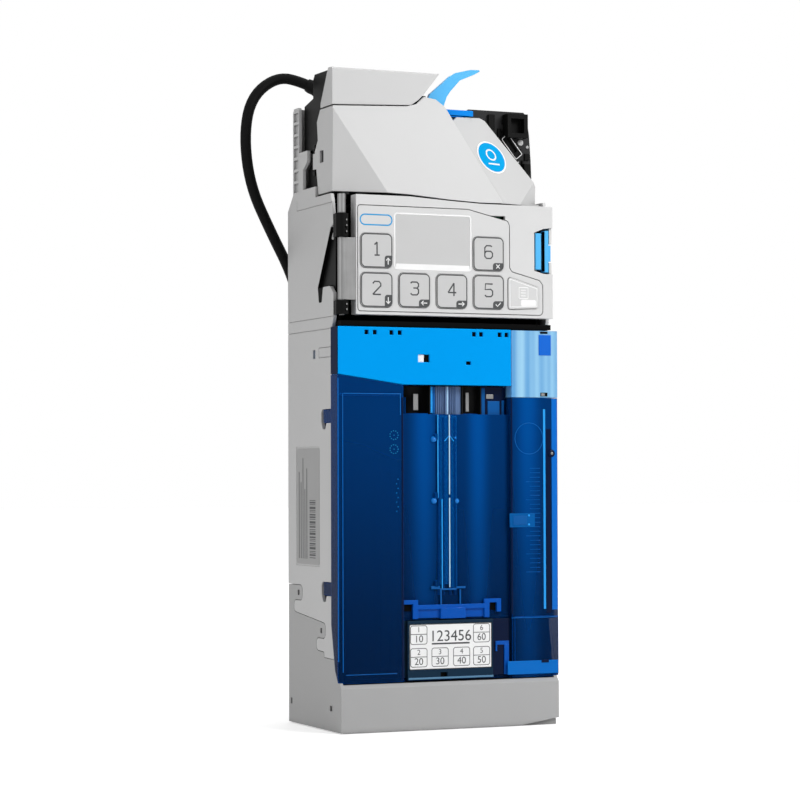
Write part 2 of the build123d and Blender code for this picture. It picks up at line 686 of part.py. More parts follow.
def keypad_panel():
    """The flush panel that carries display window and keys."""
    panel = prism_y(outline(on_door(panel_corners), 1.5), door_y, door_y + glass_t - 0.05)
    for i in range(6):
        panel -= prism_y(key_outline(i, key_clear), door_y - 1, door_y + 3)
    panel -= prism_y(menu_outline(key_clear), door_y - 1, door_y + 3)
    x0, x1, z0, z1 = display_box
    return panel - box(door_x0 + x0, door_x0 + x1, door_y - 1, door_y + 3, door_z + z0, door_z + z1)


def key(i):
    """A square key with the flange that keeps it behind the panel."""
    cap = prism_y(key_outline(i), door_y - 0.7, door_y + glass_t + 0.4 + key_travel)
    flange = prism_y(key_outline(i, key_flange), door_y + glass_t + 0.1, door_y + glass_t + 1.0)
    return cap + flange


def menu_key():
    """The five-sided key and its flange."""
    cap = prism_y(menu_outline(), door_y - 0.7, door_y + glass_t + 0.4 + key_travel)
    flange = prism_y(menu_outline(key_flange), door_y + glass_t + 0.1, door_y + glass_t + 1.0)
    return cap + flange


def display_lens():
    """The clear window over the display."""
    x0, x1, z0, z1 = display_box
    return box(door_x0 + x0 + 0.1, door_x0 + x1 - 0.1, door_y + 0.05, door_y + 1.2,
               door_z + z0 + 0.1, door_z + z1 - 0.1)


def door_electronics():
    """The display module and the keypad's board behind the panel, as one group."""
    x0, x1, z0, z1 = display_box
    display = box(door_x0 + x0 + 1, door_x0 + x1 - 1, door_y + 1.3, door_y + 4.6, door_z + z0 + 1, door_z + z1 - 1)
    board = box(door_x0 + 2.2, door_x0 + 110, door_y + 4.7, door_y + 4.7 + pcb_t, door_z + 2.4, door_z + 24.6)
    board += box(door_x0 + 2.2, door_x0 + 93, door_y + 4.7, door_y + 4.7 + pcb_t, door_z + 24.5, door_z + 60)
    for i in range(6):
        x, z = key_spots[i]
        board += rod_y(3.0, door_y + 3.6, door_y + 4.8, door_x0 + x, door_z + z)
    board += rod_y(2.6, door_y + 3.6, door_y + 4.8, door_x0 + 103.5, door_z + 11)
    return Compound(children=[display, board])


def door_latch():
    """The blue pull latch: two upright bars with a finger slot, turning on its left edge."""
    z0, z1 = door_z + 28.6, door_z + 49.6
    latch = box(door_x0 + 113.2, door_x0 + 116.8, door_y + 0.8, door_y + 6.4, z0, z1)
    latch += box(door_x0 + 113.2, door_x0 + 119.6, door_y + 4.4, door_y + 6.4, z0, z1)
    latch += box(door_x0 + 119.2, door_x0 + 121.6, door_y + 0.8, door_y + 6.4, door_z + 27.0, door_z + 51.2)
    latch += box(door_x0 + 119.4, door_x0 + 123.4, door_y + 1.6, door_y + 6.4, door_z + 33.4, door_z + 42.8)
    latch += box(door_x0 + 119.0, door_x0 + 120.6, door_y + 4.4, door_y + 10.4, door_z + 34, door_z + 42)
    latch += rod_z(1.8, door_z + 28.6, door_z + 49.6, latch_x, latch_y)
    return latch - rod_z(latch_pin_r + hinge_clear, door_z, door_top, latch_x, latch_y)


def release_lever():
    """The black hooked lever inside the left wall that frees the acceptor."""
    z = door_top
    shape = [(-28.6, z - 12.2), (-24.4, z - 12.2), (-3.6, z - 47.0), (-5.4, z - 60.0), (-13.6, z - 60.0),
             (-15.6, z - 52.0), (-26.0, z - 52.0), (-28.6, z - 50.0)]
    lever = prism_x(outline(shape, 1.2), left + wall + 0.1, left + wall + 2.1)
    return lever - rod_x(lever_boss_r + hinge_clear, left, left + 6, lever_boss_y, lever_boss_z)


# ---------------------------------------------------------------- acceptor
plate_y = -9.6
cheek_x = left + 3.4
cover_pin_r = 0.8
cover_hinge = (left + 2.6, 2.8)
main_low = (0.0, door_y, acc_z + 2.0)
main_high = (0.0, door_y + 12.6, acc_z + 60.0)
main_side = (20.0, door_y, acc_z + 2.0)
facet_a = (left + 1.2, -27.2, acc_z + 52.5)
facet_b = (left + 1.2, -25.7, acc_z + 4.8)
facet_c = (left + 31.4, door_y, acc_z + 3.5)
fold_a = (right - 33.5, door_y, acc_z + 1.0)
fold_b = (right - 18.0, door_y + 5.0, acc_z + 1.0)
fold_c = (right - 55.5, door_y + 18.0, acc_z + 51.0)
corner_a = (right - 20.1, -33.6, acc_z + 1.3)
corner_b = (right - 5.3, -21.5, acc_z + 15.7)
corner_c = (right - 3.0, -19.0, acc_z + 2.0)


def acceptor_cover():
    """The faceted front cover with its left side wall, hollow behind."""
    front = [
        (left + 1.2, acc_z + 4.8), (left + 44, acc_z + 3.4), (left + 68, acc_z + 1.4), (right - 48, acc_z + 0.4),
        (right - 33.5, acc_z + 0.6), (right - 64.7, acc_z + 56.3), (right - 70.1, acc_z + 60.4),
        (right - 77.5, acc_z + 61.6), (right - 82.7, acc_z + 57.0), (right - 88.7, acc_z + 55.3),
        (left + 1.2, acc_z + 53.2),
    ]
    rear = [
        (-60.0, acc_z - 2), (-5.2, acc_z - 2), (-5.2, acc_z + 3.6), (0.8, acc_z + 30.0), (-4.0, acc_z + 36.0),
        (-2.7, acc_z + 46.6), (-8.3, acc_z + 54.1), (-14.0, acc_z + 70), (-60.0, acc_z + 70),
    ]
    shape = prism_y(outline(front), -60, 10) & prism_x(outline(rear), left - 5, right + 5)
    solid = shape & slab_behind(main_low, main_high, main_side) & slab_behind(facet_a, facet_b, facet_c)
    hollow = slab_behind(main_low, main_high, main_side, 1.8) & slab_behind(facet_a, facet_b, facet_c, 1.8)
    hollow &= box(left + 3.0, right + 5, -60, 30, acc_z - 5, acc_z + 90)
    solid -= hollow
    solid -= box(left, left + 6, -12.5, -6.9, acc_z + 22.7, acc_z + 29.7)
    # the lug that turns on the frame's pin
    x, y = cover_hinge
    solid += box(left + 1.2, left + 3.0, -2.0, y, acc_z + 20, acc_z + 29)
    solid += rod_z(1.6, acc_z + 20, acc_z + 29, x, y)
    return solid - rod_z(cover_pin_r + hinge_clear, acc_z, acc_z + 60, x, y)


def acceptor_side_panel():
    """The folded panel right of the crease."""
    front = [
        (right - 33.9, acc_z + 0.6), (right - 3.4, acc_z + 0.6), (right - 3.4, acc_z + 13.5),
        (right - 5.3, acc_z + 15.7), (right - 32.6, acc_z + 51.6), (right - 36.2, acc_z + 53.1),
        (right - 53.7, acc_z + 51.9), (right - 58.6, acc_z + 48.4),
    ]
    shape = prism_y(outline(front), -60, 10)
    solid = shape & slab_behind(fold_a, fold_b, fold_c) & slab_behind(corner_a, corner_b, corner_c)
    inner = slab_behind(fold_a, fold_b, fold_c, 1.8) & slab_behind(corner_a, corner_b, corner_c, 1.8)
    solid -= inner
    solid &= slab_behind(main_low, main_high, main_side, 1.9)
    ledge = box(right - 12, right - 3.4, -24, plate_y - 0.2, acc_z + 0.6, acc_z + 2.4)
    return solid + ledge


def acceptor_cap():
    """The cap over the acceptor's upper left, with its slanted right end."""
    side = [(-26.0, acc_z + 54.0), (-26.0, acc_z + 74.6), (-25.2, acc_z + 75.4), (-19.9, acc_z + 75.7),
            (-8.3, acc_z + 56.6), (-8.3, acc_z + 54.0)]
    front = [(left + 1.2, acc_z + 54.1), (right - 86.0, acc_z + 56.2), (right - 81.6, acc_z + 59.2),
             (right - 77.8, acc_z + 63.0), (right - 67.4, acc_z + 76.0), (left + 1.2, acc_z + 76.0)]
    cap = prism_x(outline(side), left + 1.2, right) & prism_y(outline(front), -60, 60)
    inner = box(left + 3.0, right - 60, -24.2, 10, acc_z + 50, acc_z + 73.6)
    inner &= prism_y(Pos(-2.2, 0) * outline(front), -60, 60)
    return cap - inner


def acceptor_frame():
    """The black rear frame: left cheek, back box and the block under the cap."""
    z = acc_z
    back = 22.2
    cheek = [(-19.2, z + 75.2), (6.2, z + 75.6), (8.6, z + 72.5), (8.6, z + 62.0), (back, z + 59.0),
             (back, z + 32.2), (9.2, z + 32.2), (9.2, z + 25.4), (15.9, z + 21.0), (15.9, z + 10.0), (-4.6, z + 10.0),
             (-4.2, z + 30.0), (-2.0, z + 34.0), (-2.0, z + 47.0), (-8.0, z + 55.6), (-8.0, z + 56.6)]
    frame = prism_x(outline(cheek), cheek_x, left + 8.0)
    rear = box(left + 7.9, right - 4, plate_y + 2.4, back, z + 3.6, z + 58)
    rear -= box(left + 10, right - 6, plate_y, back - 2, z + 5.6, z + 56)
    # room for the funnel's rear edge
    rear -= box(right - 79.2, right - 41.6, plate_y, plate_y + 4.3, z + 50, z + 60)
    frame += rear
    for x in (-30.0, 30.0):
        frame += box(x - 3, x + 3, back - 0.1, vent_y - wall, z + 12, z + 16)
    top = [(-8.7, z + 57.9), (-19.2, z + 75.2), (6.2, z + 75.6), (8.6, z + 72.5), (8.6, z + 57.9)]
    frame += prism_x(outline(top), left + 7.9, right - 79.2)
    frame += box(right - 79.3, right - 69.0, plate_y + 0.9, 8.6, z + 57.9, z + 64.8)
    # pocket, ears and pin of the cover's hinge
    frame -= box(cheek_x - 1, cheek_x + 1.6, cover_hinge[1] - 2.6, cover_hinge[1] + 2.6, z + 18.6, z + 32)
    for z0 in (z + 16.4, z + 32.0):
        frame += box(left + 1.4, cheek_x + 0.1, cover_hinge[1] - 1.4, cover_hinge[1] + 1.4, z0, z0 + 2.2)
    frame += rod_z(cover_pin_r, z + 17, z + 33, *cover_hinge)
    frame -= rod_y(cord_d / 2 + 0.3, 2, 12, cord_start[0], cord_start[2])
    return frame


cord_start = (left + 15.0, 8.6, acc_z + 67.0)
lever_pin = (right - 80.0, acc_z + 47.4)
lever_pin_r = 2.0
gate_pin = (right - 46.0, acc_z + 9.0)
gate_stud_r = 1.0
lever_y = plate_y - 9.6


def acceptor_plate():
    """The dark main plate that carries the coin run and the electronics."""
    z = acc_z
    shape = [(left + 9.0, z + 4.2), (right - 0.8, z + 4.2), (right - 0.8, z + 19.0), (right - 1.2, z + 30.0),
             (right - 2.2, z + 45.0), (right - 4.0, z + 56.6), (right - 6.0, z + 58.4), (right - 41.8, z + 58.4),
             (right - 41.8, z + 53.4), (left + 9.0, z + 53.4)]
    plate = prism_y(outline(shape), plate_y, plate_y + 2.4)
    for x0, x1, z0, z1 in ((left + 18, left + 60, 36, 28), (left + 24, left + 80, 22, 15)):
        run = [(x0, z + z0), (x1, z + z1), (x1, z + z1 + 1.8), (x0, z + z0 + 1.8)]
        plate += prism_y(outline(run), plate_y - 3.2, plate_y + 0.1)
    plate += rod_y(gate_stud_r, plate_y - 3.6, plate_y + 0.1, *gate_pin)
    return plate + rod_y(lever_pin_r, lever_y - 1.6, plate_y + 0.1, *lever_pin)


def acceptor_board():
    """The acceptor's circuit board behind the main plate."""
    return box(left + 14, right - 8, plate_y + 2.4, plate_y + 2.4 + pcb_t, acc_z + 8, acc_z + 48)


def board_connectors():
    """The sockets and headers on the plate's bare corner, as one group."""
    z = acc_z
    y = plate_y
    socket = box(right - 19.6, right - 6.4, y - 7, y, z + 42.4, z + 56.4)
    socket -= box(right - 17.4, right - 8.8, y - 8, y - 2, z + 45.0, z + 53.6)
    block = Pos(right - 15.8, y - 1.5, z + 37.8) * Rot(0, 51, 0) * Box(14.5, 3.0, 6.2)
    block -= Pos(right - 15.8, y - 3.0, z + 37.8) * Rot(0, 51, 0) * Box(10.0, 3.0, 3.4)
    block -= box(right - 19.7, right - 6.3, y - 8, y + 1, z + 42.3, z + 56.5)
    header = box(right - 29.5, right - 25.6, y - 1.8, y, z + 47, z + 56)
    small = box(right - 7.6, right - 3.4, y - 4.5, y, z + 21.5, z + 27.5)
    return Compound(children=[socket, block, header, small])


def coin_funnel():
    """The blue funnel that coins drop into, with its long slot."""
    z = acc_z
    x0, x1 = right - 78.8, right - 42.0
    funnel = box(x0, x1, plate_y - 6.6, plate_y + 4.0, z + 53.4, z + 56.6)
    funnel -= box(x0 + 3.4, x1 - 3.2, plate_y - 3.9, plate_y + 0.7, z + 50, z + 61)
    flare = [(plate_y - 5.2, z + 57), (plate_y + 2.0, z + 57), (plate_y + 0.4, z + 54.6), (plate_y - 3.6, z + 54.6)]
    return funnel - prism_x(outline(flare), x0 + 2.0, x1 - 1.8)


deck_hinge = (left + 13.0, plate_y - 4.6)
deck_pin_r = 1.2
deck_top = acc_z + 42.0


def flight_deck():
    """The front wall of the coin run, which swings open to free a jam."""
    z0 = acc_z + 8
    deck = box(deck_hinge[0], right - 58, plate_y - 5.6, plate_y - 3.6, z0, deck_top)
    deck += rod_z(2.2, z0, deck_top, *deck_hinge)
    return deck - rod_z(deck_pin_r + hinge_clear, z0 - 5, deck_top + 5, *deck_hinge)


def deck_pin():
    """The upright pin that the flight deck turns on, with its two ears."""
    x, y = deck_hinge
    pin = rod_z(deck_pin_r, acc_z + 4.6, deck_top + 2.6, x, y)
    for z0 in (acc_z + 4.4, deck_top + 0.6):
        pin += box(x - 2.4, x + 2.4, y - 2.4, plate_y, z0, z0 + 2.2)
    return pin


def sensor_coils():
    """The two sensing coils on the flight deck, as one group."""
    group = []
    for x, z in ((left + 32, acc_z + 33), (left + 54, acc_z + 27)):
        group.append(rod_y(8.5, plate_y - 8.6, plate_y - 5.6, x, z))
    return Compound(children=group)


def accept_gate():
    """The flap at the end of the coin run that sends a coin to the sorter or back out."""
    x, z = gate_pin
    gate = rod_y(2.2, plate_y - 3.2, plate_y - 0.3, x, z)
    flap = [(x - 1.6, z), (x + 1.6, z), (x + 0.6, z + 14), (x - 0.6, z + 14)]
    gate += prism_y(outline(flap), plate_y - 3.2, plate_y - 0.3)
    return gate - rod_y(gate_stud_r + hinge_clear, -60, 20, x, z)


def return_lever():
    """The pale blue coin return lever, rising out of the top of the acceptor."""
    z = acc_z
    x, pz = lever_pin
    shape = [
        (x - 4.6, pz - 3.6), (x + 3.0, pz - 4.4), (right - 64.4, z + 52.0), (right - 62.6, z + 58.2),
        (right - 60.8, z + 63.2), (right - 58.6, z + 66.4), (right - 52.4, z + 73.2), (right - 43.1, z + 77.2),
        (right - 39.6, z + 79.2), (right - 39.9, z + 80.0), (right - 45.7, z + 79.8), (right - 55.3, z + 77.4),
        (right - 58.6, z + 75.4), (right - 65.0, z + 69.8), (right - 71.3, z + 64.4), (right - 73.6, z + 59.6),
    ]
    lever = prism_y(outline(shape), lever_y - 1.2, lever_y + 1.8)
    lever += rod_y(4.4, lever_y - 1.2, lever_y + 1.8, x, pz)
    return lever - rod_y(lever_pin_r + hinge_clear, -60, 0, x, pz)


# ---------------------------------------------------------------- cord
coil_mid_r = 36.0
coil_d = 14.0
coil_centre = (22.0, 96.0)
sx, sy, sz = cord_start
cord_points = [
    (sx, sy + 3.0, sz),
    (sx, sy + 12, sz),
    (sx - 9, sy + 22, sz + 6.0),
    (sx - 27, sy + 25, sz + 8.6),
    (sx - 45, sy + 25, sz - 4),
    (sx - 50, sy + 25, sz - 26),
    (sx - 46, sy + 27, sz - 54),
    (sx - 33, sy + 31, sz - 79),
    (sx - 17, sy + 38, sz - 106),
    (sx - 2, sy + 46, sz - 140),
    (sx + 5, sy + 50, sz - 180),
    (sx + 8, sy + 52, sz - 224),
    (sx + 8, sy + 54, sz - 266),
    (sx + 10, sy + 56, sz - 306),
    (sx + 12, sy + 60, sz - 336),
    (sx + 18, sy + 70, sz - 354),
    (-26.0, 92.0, 7.2),
    (-16.0, 108.0, 6.6),
]
plug_size = (17.0, 9.0, 11.0)


def cable_gland():
    """The strain relief on the back of the frame."""
    gland = rod_y(5.2, sy, sy + 1.6, sx, sz) + rod_y(4.4, sy + 1.6, sy + 3.0, sx, sz)
    return gland + rod_y(cord_d / 2 + 0.2, 2.4, sy, sx, sz)


def cord_radii(points):
    """The largest arc that each corner's two runs allow."""
    radii = []
    for a, b, c in zip(points, points[1:], points[2:]):
        before = Vector(*b) - Vector(*a)
        after = Vector(*c) - Vector(*b)
        turn = math.radians(before.get_angle(after))
        radii.append(0.45 * min(before.length, after.length) / math.tan(turn / 2))
    return radii


def cable():
    """The cord's free length, from the gland down to the coil on the floor."""
    radii = cord_radii(cord_points)
    print("cord radii", [round(r, 1) for r in radii])
    path = FilletPolyline(*cord_points, radius=radii)
    start = Vector(*cord_points[0])
    toward = Vector(*cord_points[1]) - start
    section = Plane(origin=start, z_dir=toward) * Circle(cord_d / 2)
    tube = sweep(section, path=path)
    print("cord length", round(path.length, 1), "volume ratio",
          round(tube.volume / (path.length * math.pi * cord_d ** 2 / 4), 4))
    return tube


def cable_coil():
    """The coiled rest of the cord, as one solid of its outer shape."""
    x, y = coil_centre
    return Pos(x, y, coil_d / 2) * Torus(coil_mid_r, coil_d / 2)


def cable_connector():
    """The six-way plug at the cord's end, lying beside the coil."""
    x = coil_centre[0] + coil_mid_r + coil_d / 2
    y = coil_centre[1] + 12
    body = box(x, x + plug_size[0], y - plug_size[2] / 2, y + plug_size[2] / 2, 0, plug_size[1])
    for i in range(3):
        for k in range(2):
            py = y - 3.4 + 3.4 * i
            pz = 2.4 + 4.0 * k
            body -= box(x + 6, x + plug_size[0] + 1, py - 1.1, py + 1.1, pz - 1.1, pz + 1.1)
    return body


# ---------------------------------------------------------------- output
pieces = {
    "chassis_shell": chassis_shell(),
    "base_cover": base_cover(),
    "base_foot": base_foot(),
    "foot_screws": screws(),
    "payout_deck": payout_deck(),
    "payout_motors": payout_motors(),
    "main_board": main_board(),
    "separator_body": separator_body(),
    "solenoids": solenoids(),
    "hinge_knuckles": hinge_knuckles(),
    "hinge_pin": hinge_pin(),
    "release_lever": release_lever(),
    "acceptor_frame": acceptor_frame(),
    "acceptor_cap": acceptor_cap(),
    "acceptor_plate": acceptor_plate(),
    "acceptor_board": acceptor_board(),
    "board_connectors": board_connectors(),
    "coin_funnel": coin_funnel(),
    "deck_pin": deck_pin(),
    "flight_deck": flight_deck(),
    "sensor_coils": sensor_coils(),
    "accept_gate": accept_gate(),
    "return_lever": return_lever(),
    "acceptor_cover": acceptor_cover(),
    "acceptor_side_panel": acceptor_side_panel(),
    "door_frame": door_frame(),
    "hinge_leaf": hinge_leaf(),
    "keypad_panel": keypad_panel(),
    "display_lens": display_lens(),
    "door_electronics": door_electronics(),
    "menu_key": menu_key(),
    "door_latch": door_latch(),
    "cassette_body": cassette_body(),
    "cassette_cover": cassette_cover(),
    "cassette_end_cap": cassette_end_cap(),
    "middle_panel": middle_panel(),
    "cassette_latch": cassette_latch(),
    "label_holder": label_holder(),
    "label_card": label_card(),
    "cable_gland": cable_gland(),
    "cable": cable(),
    "cable_coil": cable_coil(),
    "cable_connector": cable_connector(),
}
for i in range(6):
    pieces[f"key_{i + 1}"] = key(i)
    pieces[f"coin_tube_{i + 1}"] = coin_tube(i)
for i in range(3):
    pieces[f"payout_cam_{i + 1}"] = payout_cam(i)
for i in range(2):
    pieces[f"sorter_gate_{i + 1}"] = sorter_gate(i)

os.makedirs("parts", exist_ok=True)
for name, piece in pieces.items():
    export_step(piece, f"parts/{name}.step")
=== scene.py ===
"""Looks of a wall-hung coin changer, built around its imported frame."""

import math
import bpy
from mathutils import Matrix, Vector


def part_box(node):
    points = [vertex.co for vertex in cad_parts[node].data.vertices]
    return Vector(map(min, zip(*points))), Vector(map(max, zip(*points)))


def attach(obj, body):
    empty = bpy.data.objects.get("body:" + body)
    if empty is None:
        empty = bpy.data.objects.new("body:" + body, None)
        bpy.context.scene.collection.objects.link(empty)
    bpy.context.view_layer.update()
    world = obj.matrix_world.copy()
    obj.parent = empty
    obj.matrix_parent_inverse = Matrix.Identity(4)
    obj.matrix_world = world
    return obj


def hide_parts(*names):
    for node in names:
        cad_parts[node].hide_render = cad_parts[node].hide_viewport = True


bl_info = {
    "name": "Coin changer looks",
    "version": (1, 0, 0),
    "blender": (4, 5, 0),
    "location": "View3D > Sidebar > Changer",
    "description": "Finishes and small parts of a wall-hung coin changer",
    "category": "Object",
}

import bmesh
import bpy
from bpy.props import FloatProperty, FloatVectorProperty, IntProperty, PointerProperty
from mathutils import Matrix, Vector

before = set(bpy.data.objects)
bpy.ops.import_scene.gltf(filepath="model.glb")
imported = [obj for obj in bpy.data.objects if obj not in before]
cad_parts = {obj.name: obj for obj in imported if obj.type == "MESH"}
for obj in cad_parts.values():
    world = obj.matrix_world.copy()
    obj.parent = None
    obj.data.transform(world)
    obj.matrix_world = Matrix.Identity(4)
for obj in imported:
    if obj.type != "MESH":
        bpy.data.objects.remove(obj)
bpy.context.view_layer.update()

# ---------------------------------------------------------------- properties
def colour(name, description, default):
    """A colour that a user can change."""
    return FloatVectorProperty(name=name, description=description, subtype="COLOR", size=3, min=0, max=1,
                               default=default)


def length(name, description, default):
    """A length that a user can change, in metres."""
    return FloatProperty(name=name, description=description, unit="LENGTH", default=default, min=0,
                         precision=5)


class ChangerColours(bpy.types.PropertyGroup):
    """Colours of the changer's finishes."""

    housing: colour("Housing", "Moulded housing and acceptor covers", (0.60, 0.60, 0.60))
    base: colour("Payout base", "Moulded payout base", (0.42, 0.42, 0.42))
    door: colour("Door", "Keypad door and its panel", (0.68, 0.68, 0.68))
    keys: colour("Keys", "Key caps", (0.58, 0.58, 0.58))
    black: colour("Black parts", "Rear frame, hinge blocks and levers", (0.004, 0.004, 0.004))
    dark: colour("Dark parts", "Deck and main plate", (0.03, 0.03, 0.031))
    legend: colour("Legends", "Lines and figures on the keys", (0.075, 0.078, 0.08))
    lid: colour("Bright blue", "Opaque cassette lid", (0.0, 0.34, 0.88))
    clear: colour("Deep blue", "See-through cassette and tubes", (0.0, 0.035, 0.16))
    # The colour of the painted highlight where a tube stands behind the see-through plastic.
    clear_lit: colour("Lit blue", "See-through plastic in front of a tube", (0.0, 0.09, 0.40))
    cap: colour("Pale blue", "Paler lid of the cassette", (0.16, 0.46, 0.86))
    # The colour of the painted highlight along the see-through plastic's edges.
    edge: colour("Edge blue", "Edges of the see-through plastic, where light gathers", (0.0, 0.12, 0.62))
    bracket: colour("Bracket blue", "Catch in the cassette", (0.0, 0.085, 0.46))
    funnel: colour("Funnel blue", "Coin funnel", (0.0, 0.26, 0.86))
    lever: colour("Lever blue", "Return lever and door latch", (0.10, 0.50, 0.93))
    disc: colour("Disc blue", "Round badge on the acceptor", (0.0, 0.36, 0.76))
    teal: colour("Label frame", "Frame around the card", (0.005, 0.024, 0.052))
    card: colour("Card", "Card in the cassette", (0.93, 0.93, 0.93))
    steel: colour("Steel", "Hinge, pins and screws", (0.22, 0.22, 0.22))
    board: colour("Board", "Circuit boards", (0.012, 0.05, 0.03))
    copper: colour("Copper", "Sensing coils", (0.42, 0.17, 0.07))
    cord: colour("Cord", "Cord and plug", (0.003, 0.003, 0.003))


class ChangerSizes(bpy.types.PropertyGroup):
    """Sizes of the changer's small parts."""

    key_line: length("Key line", "Width of the line around a key", 0.00062)
    figure_line: length("Figure line", "Width of the strokes of a key's figure", 0.00085)
    panel_line: length("Panel line", "Width of the dark groove around the keypad panel", 0.0005)
    display_rim: length("Display rim", "Width of the white rim around the display", 0.0011)
    print_line: length("Card line", "Width of the lines printed on the card", 0.0004)
    badge_r: length("Badge radius", "Radius of the round badge", 0.0098)
    cord_d: length("Cord diameter", "Diameter of the cord", 0.0064)
    grain: length("Grain", "Size of the moulded plastic's grain", 0.0005)
    edge: length("Edge", "Radius that moulded edges are softened by", 0.0004)
    coil_turns: IntProperty(name="Coil turns", description="Turns in the put-away coil", default=4, min=1,
                            max=12)


# ---------------------------------------------------------------- shader maths
class Value:
    """A shader socket that Python's operators work on."""

    def __init__(self, finish, socket):
        self.finish = finish
        self.socket = socket

    def _math(self, operation, *values):
        return self.finish.node("ShaderNodeMath", {"operation": operation}, *values)[0]

    def __add__(self, other):
        return self._math("ADD", self, other)

    __radd__ = __add__

    def __sub__(self, other):
        return self._math("SUBTRACT", self, other)

    def __rsub__(self, other):
        return self._math("SUBTRACT", other, self)

    def __mul__(self, other):
        return self._math("MULTIPLY", self, other)

    __rmul__ = __mul__

    def __abs__(self):
        return self._math("ABSOLUTE", self)

    def __pow__(self, other):
        return self._math("POWER", self, other)

    def __gt__(self, other):
        return self._math("GREATER_THAN", self, other)

    def __lt__(self, other):
        return self._math("LESS_THAN", self, other)


class Node:
    """A shader node whose outputs are read as values, by number or by name."""

    def __init__(self, finish, node):
        self.finish = finish
        self.node = node

    def __getitem__(self, key):
        return Value(self.finish, self.node.outputs[key])


class Finish:
    """A material, with its Principled shader."""

    def __init__(self, name):
        self.material = bpy.data.materials.new(name)
        self.material.use_nodes = True
        self.tree = self.material.node_tree
        self.tree.nodes.clear()
        self.shader = self.node("ShaderNodeBsdfPrincipled")
        self.end = self.node("ShaderNodeOutputMaterial", {}, Surface=self.shader["BSDF"])

    def node(self, kind, settings=None, *values, **named):
        """A node of a kind: its settings first, then its sockets' values or links."""
        made = self.tree.nodes.new(kind)
        for key, setting in (settings or {}).items():
            setattr(made, key, setting)
        for number, value in enumerate(values):
            self.feed(made.inputs[number], value)
        for key, value in named.items():
            self.feed(made.inputs[key.replace("_", " ")], value)
        return Node(self, made)

    def feed(self, socket, value):
        """Links a value to a socket, or writes a plain number or colour on it."""
        if isinstance(value, Value):
            self.tree.links.new(value.socket, socket)
        elif hasattr(value, "__len__") and socket.type == "RGBA" and len(value) == 3:
            socket.default_value = (*value, 1.0)
        else:
            socket.default_value = value

    def surface(self, **sockets):
        """Values or links of the shader's sockets."""
        for key, value in sockets.items():
            self.feed(self.shader.node.inputs[key.replace("_", " ")], value)
        return self.material

    def place(self):
        """Where a point is on the object, in metres."""
        return self.node("ShaderNodeTexCoord")["Object"]

    def axes(self):
        """The place as three numbers, in metres."""
        split = self.node("ShaderNodeSeparateXYZ", {}, self.place())
        return split[0], split[1], split[2]

    def stretched(self, x, y, z):
        """The place, scaled along each axis."""
        return self.node("ShaderNodeMapping", {}, Vector=self.place(), Scale=(x, y, z))[0]

    def noise(self, scale, detail=2.0, at=None):
        """Cloudy noise from 0 to 1."""
        where = at or self.place()
        return self.node("ShaderNodeTexNoise", {}, Vector=where, Scale=scale, Detail=detail)["Fac"]

    def spread(self, value, low, high, start=0.0, end=1.0, smooth=False):
        """A value's share of the way from low to high, clamped."""
        kind = "SMOOTHSTEP" if smooth else "LINEAR"
        return self.node("ShaderNodeMapRange", {"interpolation_type": kind}, Value=value, From_Min=low,
                         From_Max=high, To_Min=start, To_Max=end)[0]

    def mix(self, share, first, second):
        """A colour between two, by a share."""
        made = self.node("ShaderNodeMix", {"data_type": "RGBA"})
        for number, value in ((0, share), (6, first), (7, second)):
            self.feed(made.node.inputs[number], value)
        return Value(self, made.node.outputs[2])

    def dim(self, tint, factor):
        """A colour times a number."""
        return self.node("ShaderNodeVectorMath", {"operation": "SCALE"}, tint, Scale=factor)[0]

    def soft_normal(self, radius):
        """The normal, rounded over sharp edges."""
        return self.node("ShaderNodeBevel", {"samples": 4}, Radius=radius)[0]

    def edge_share(self, soft):
        """0 on flat surfaces, more where an edge is rounded."""
        plain = self.node("ShaderNodeNewGeometry")["Normal"]
        alike = self.node("ShaderNodeVectorMath", {"operation": "DOT_PRODUCT"}, soft, plain)["Value"]
        return self.spread(alike, 0.995, 0.80)

    def painted_gap_shade(self, reach, low=0.25, high=0.85, start=0.5):
        """Painted shade: 1 on open surfaces, less in corners and gaps."""
        free = self.node("ShaderNodeAmbientOcclusion", {"samples": 4}, Distance=reach)["AO"]
        return self.spread(free, low, high, start, 1.0)

    def bump(self, height, strength, distance, under=None):
        """A normal from a height."""
        named = {"Height": height, "Strength": strength, "Distance": distance}
        if under is not None:
            named["Normal"] = under
        return self.node("ShaderNodeBump", {}, **named)[0]


def shade(base, factor):
    """A colour made darker or lighter."""
    return tuple(min(1.0, c * factor) for c in base)


def moulded(name, base, roughness=0.45, texture=0.3, gloss=0.3, edge_wear_and_highlight=1.12, edge=None, crease_shade=0.0):
    """Moulded plastic: fine grain, slight clouding, rounded and faintly polished edges painted lighter as
    highlights and wear, and painted shade in creases.
    """
    sizes = bpy.context.scene.changer_sizes
    f = Finish(name)
    soft = f.soft_normal(edge or sizes.edge)
    grain = f.noise(1.0 / sizes.grain, 3.0)
    cloud = f.noise(14.0, 2.0)
    edges = f.edge_share(soft)
    tint = base(f) if callable(base) else f.mix(cloud, shade(base, 0.97), shade(base, 1.03))
    # Edges painted lighter: a painted highlight, with wear.
    body = f.dim(tint, edges * (edge_wear_and_highlight - 1.0) + (cloud * 0.04 + 0.98))
    # Painted shade in creases and corners.
    if crease_shade:
        body = f.dim(body, f.painted_gap_shade(crease_shade))
    return f.surface(
        Base_Color=body,
        Roughness=roughness + (grain - 0.5) * 0.10 + (cloud - 0.5) * 0.06 - edges * 0.08,
        Normal=f.bump(grain, texture, sizes.grain * 0.12, soft),
        Specular_IOR_Level=gloss,
    )


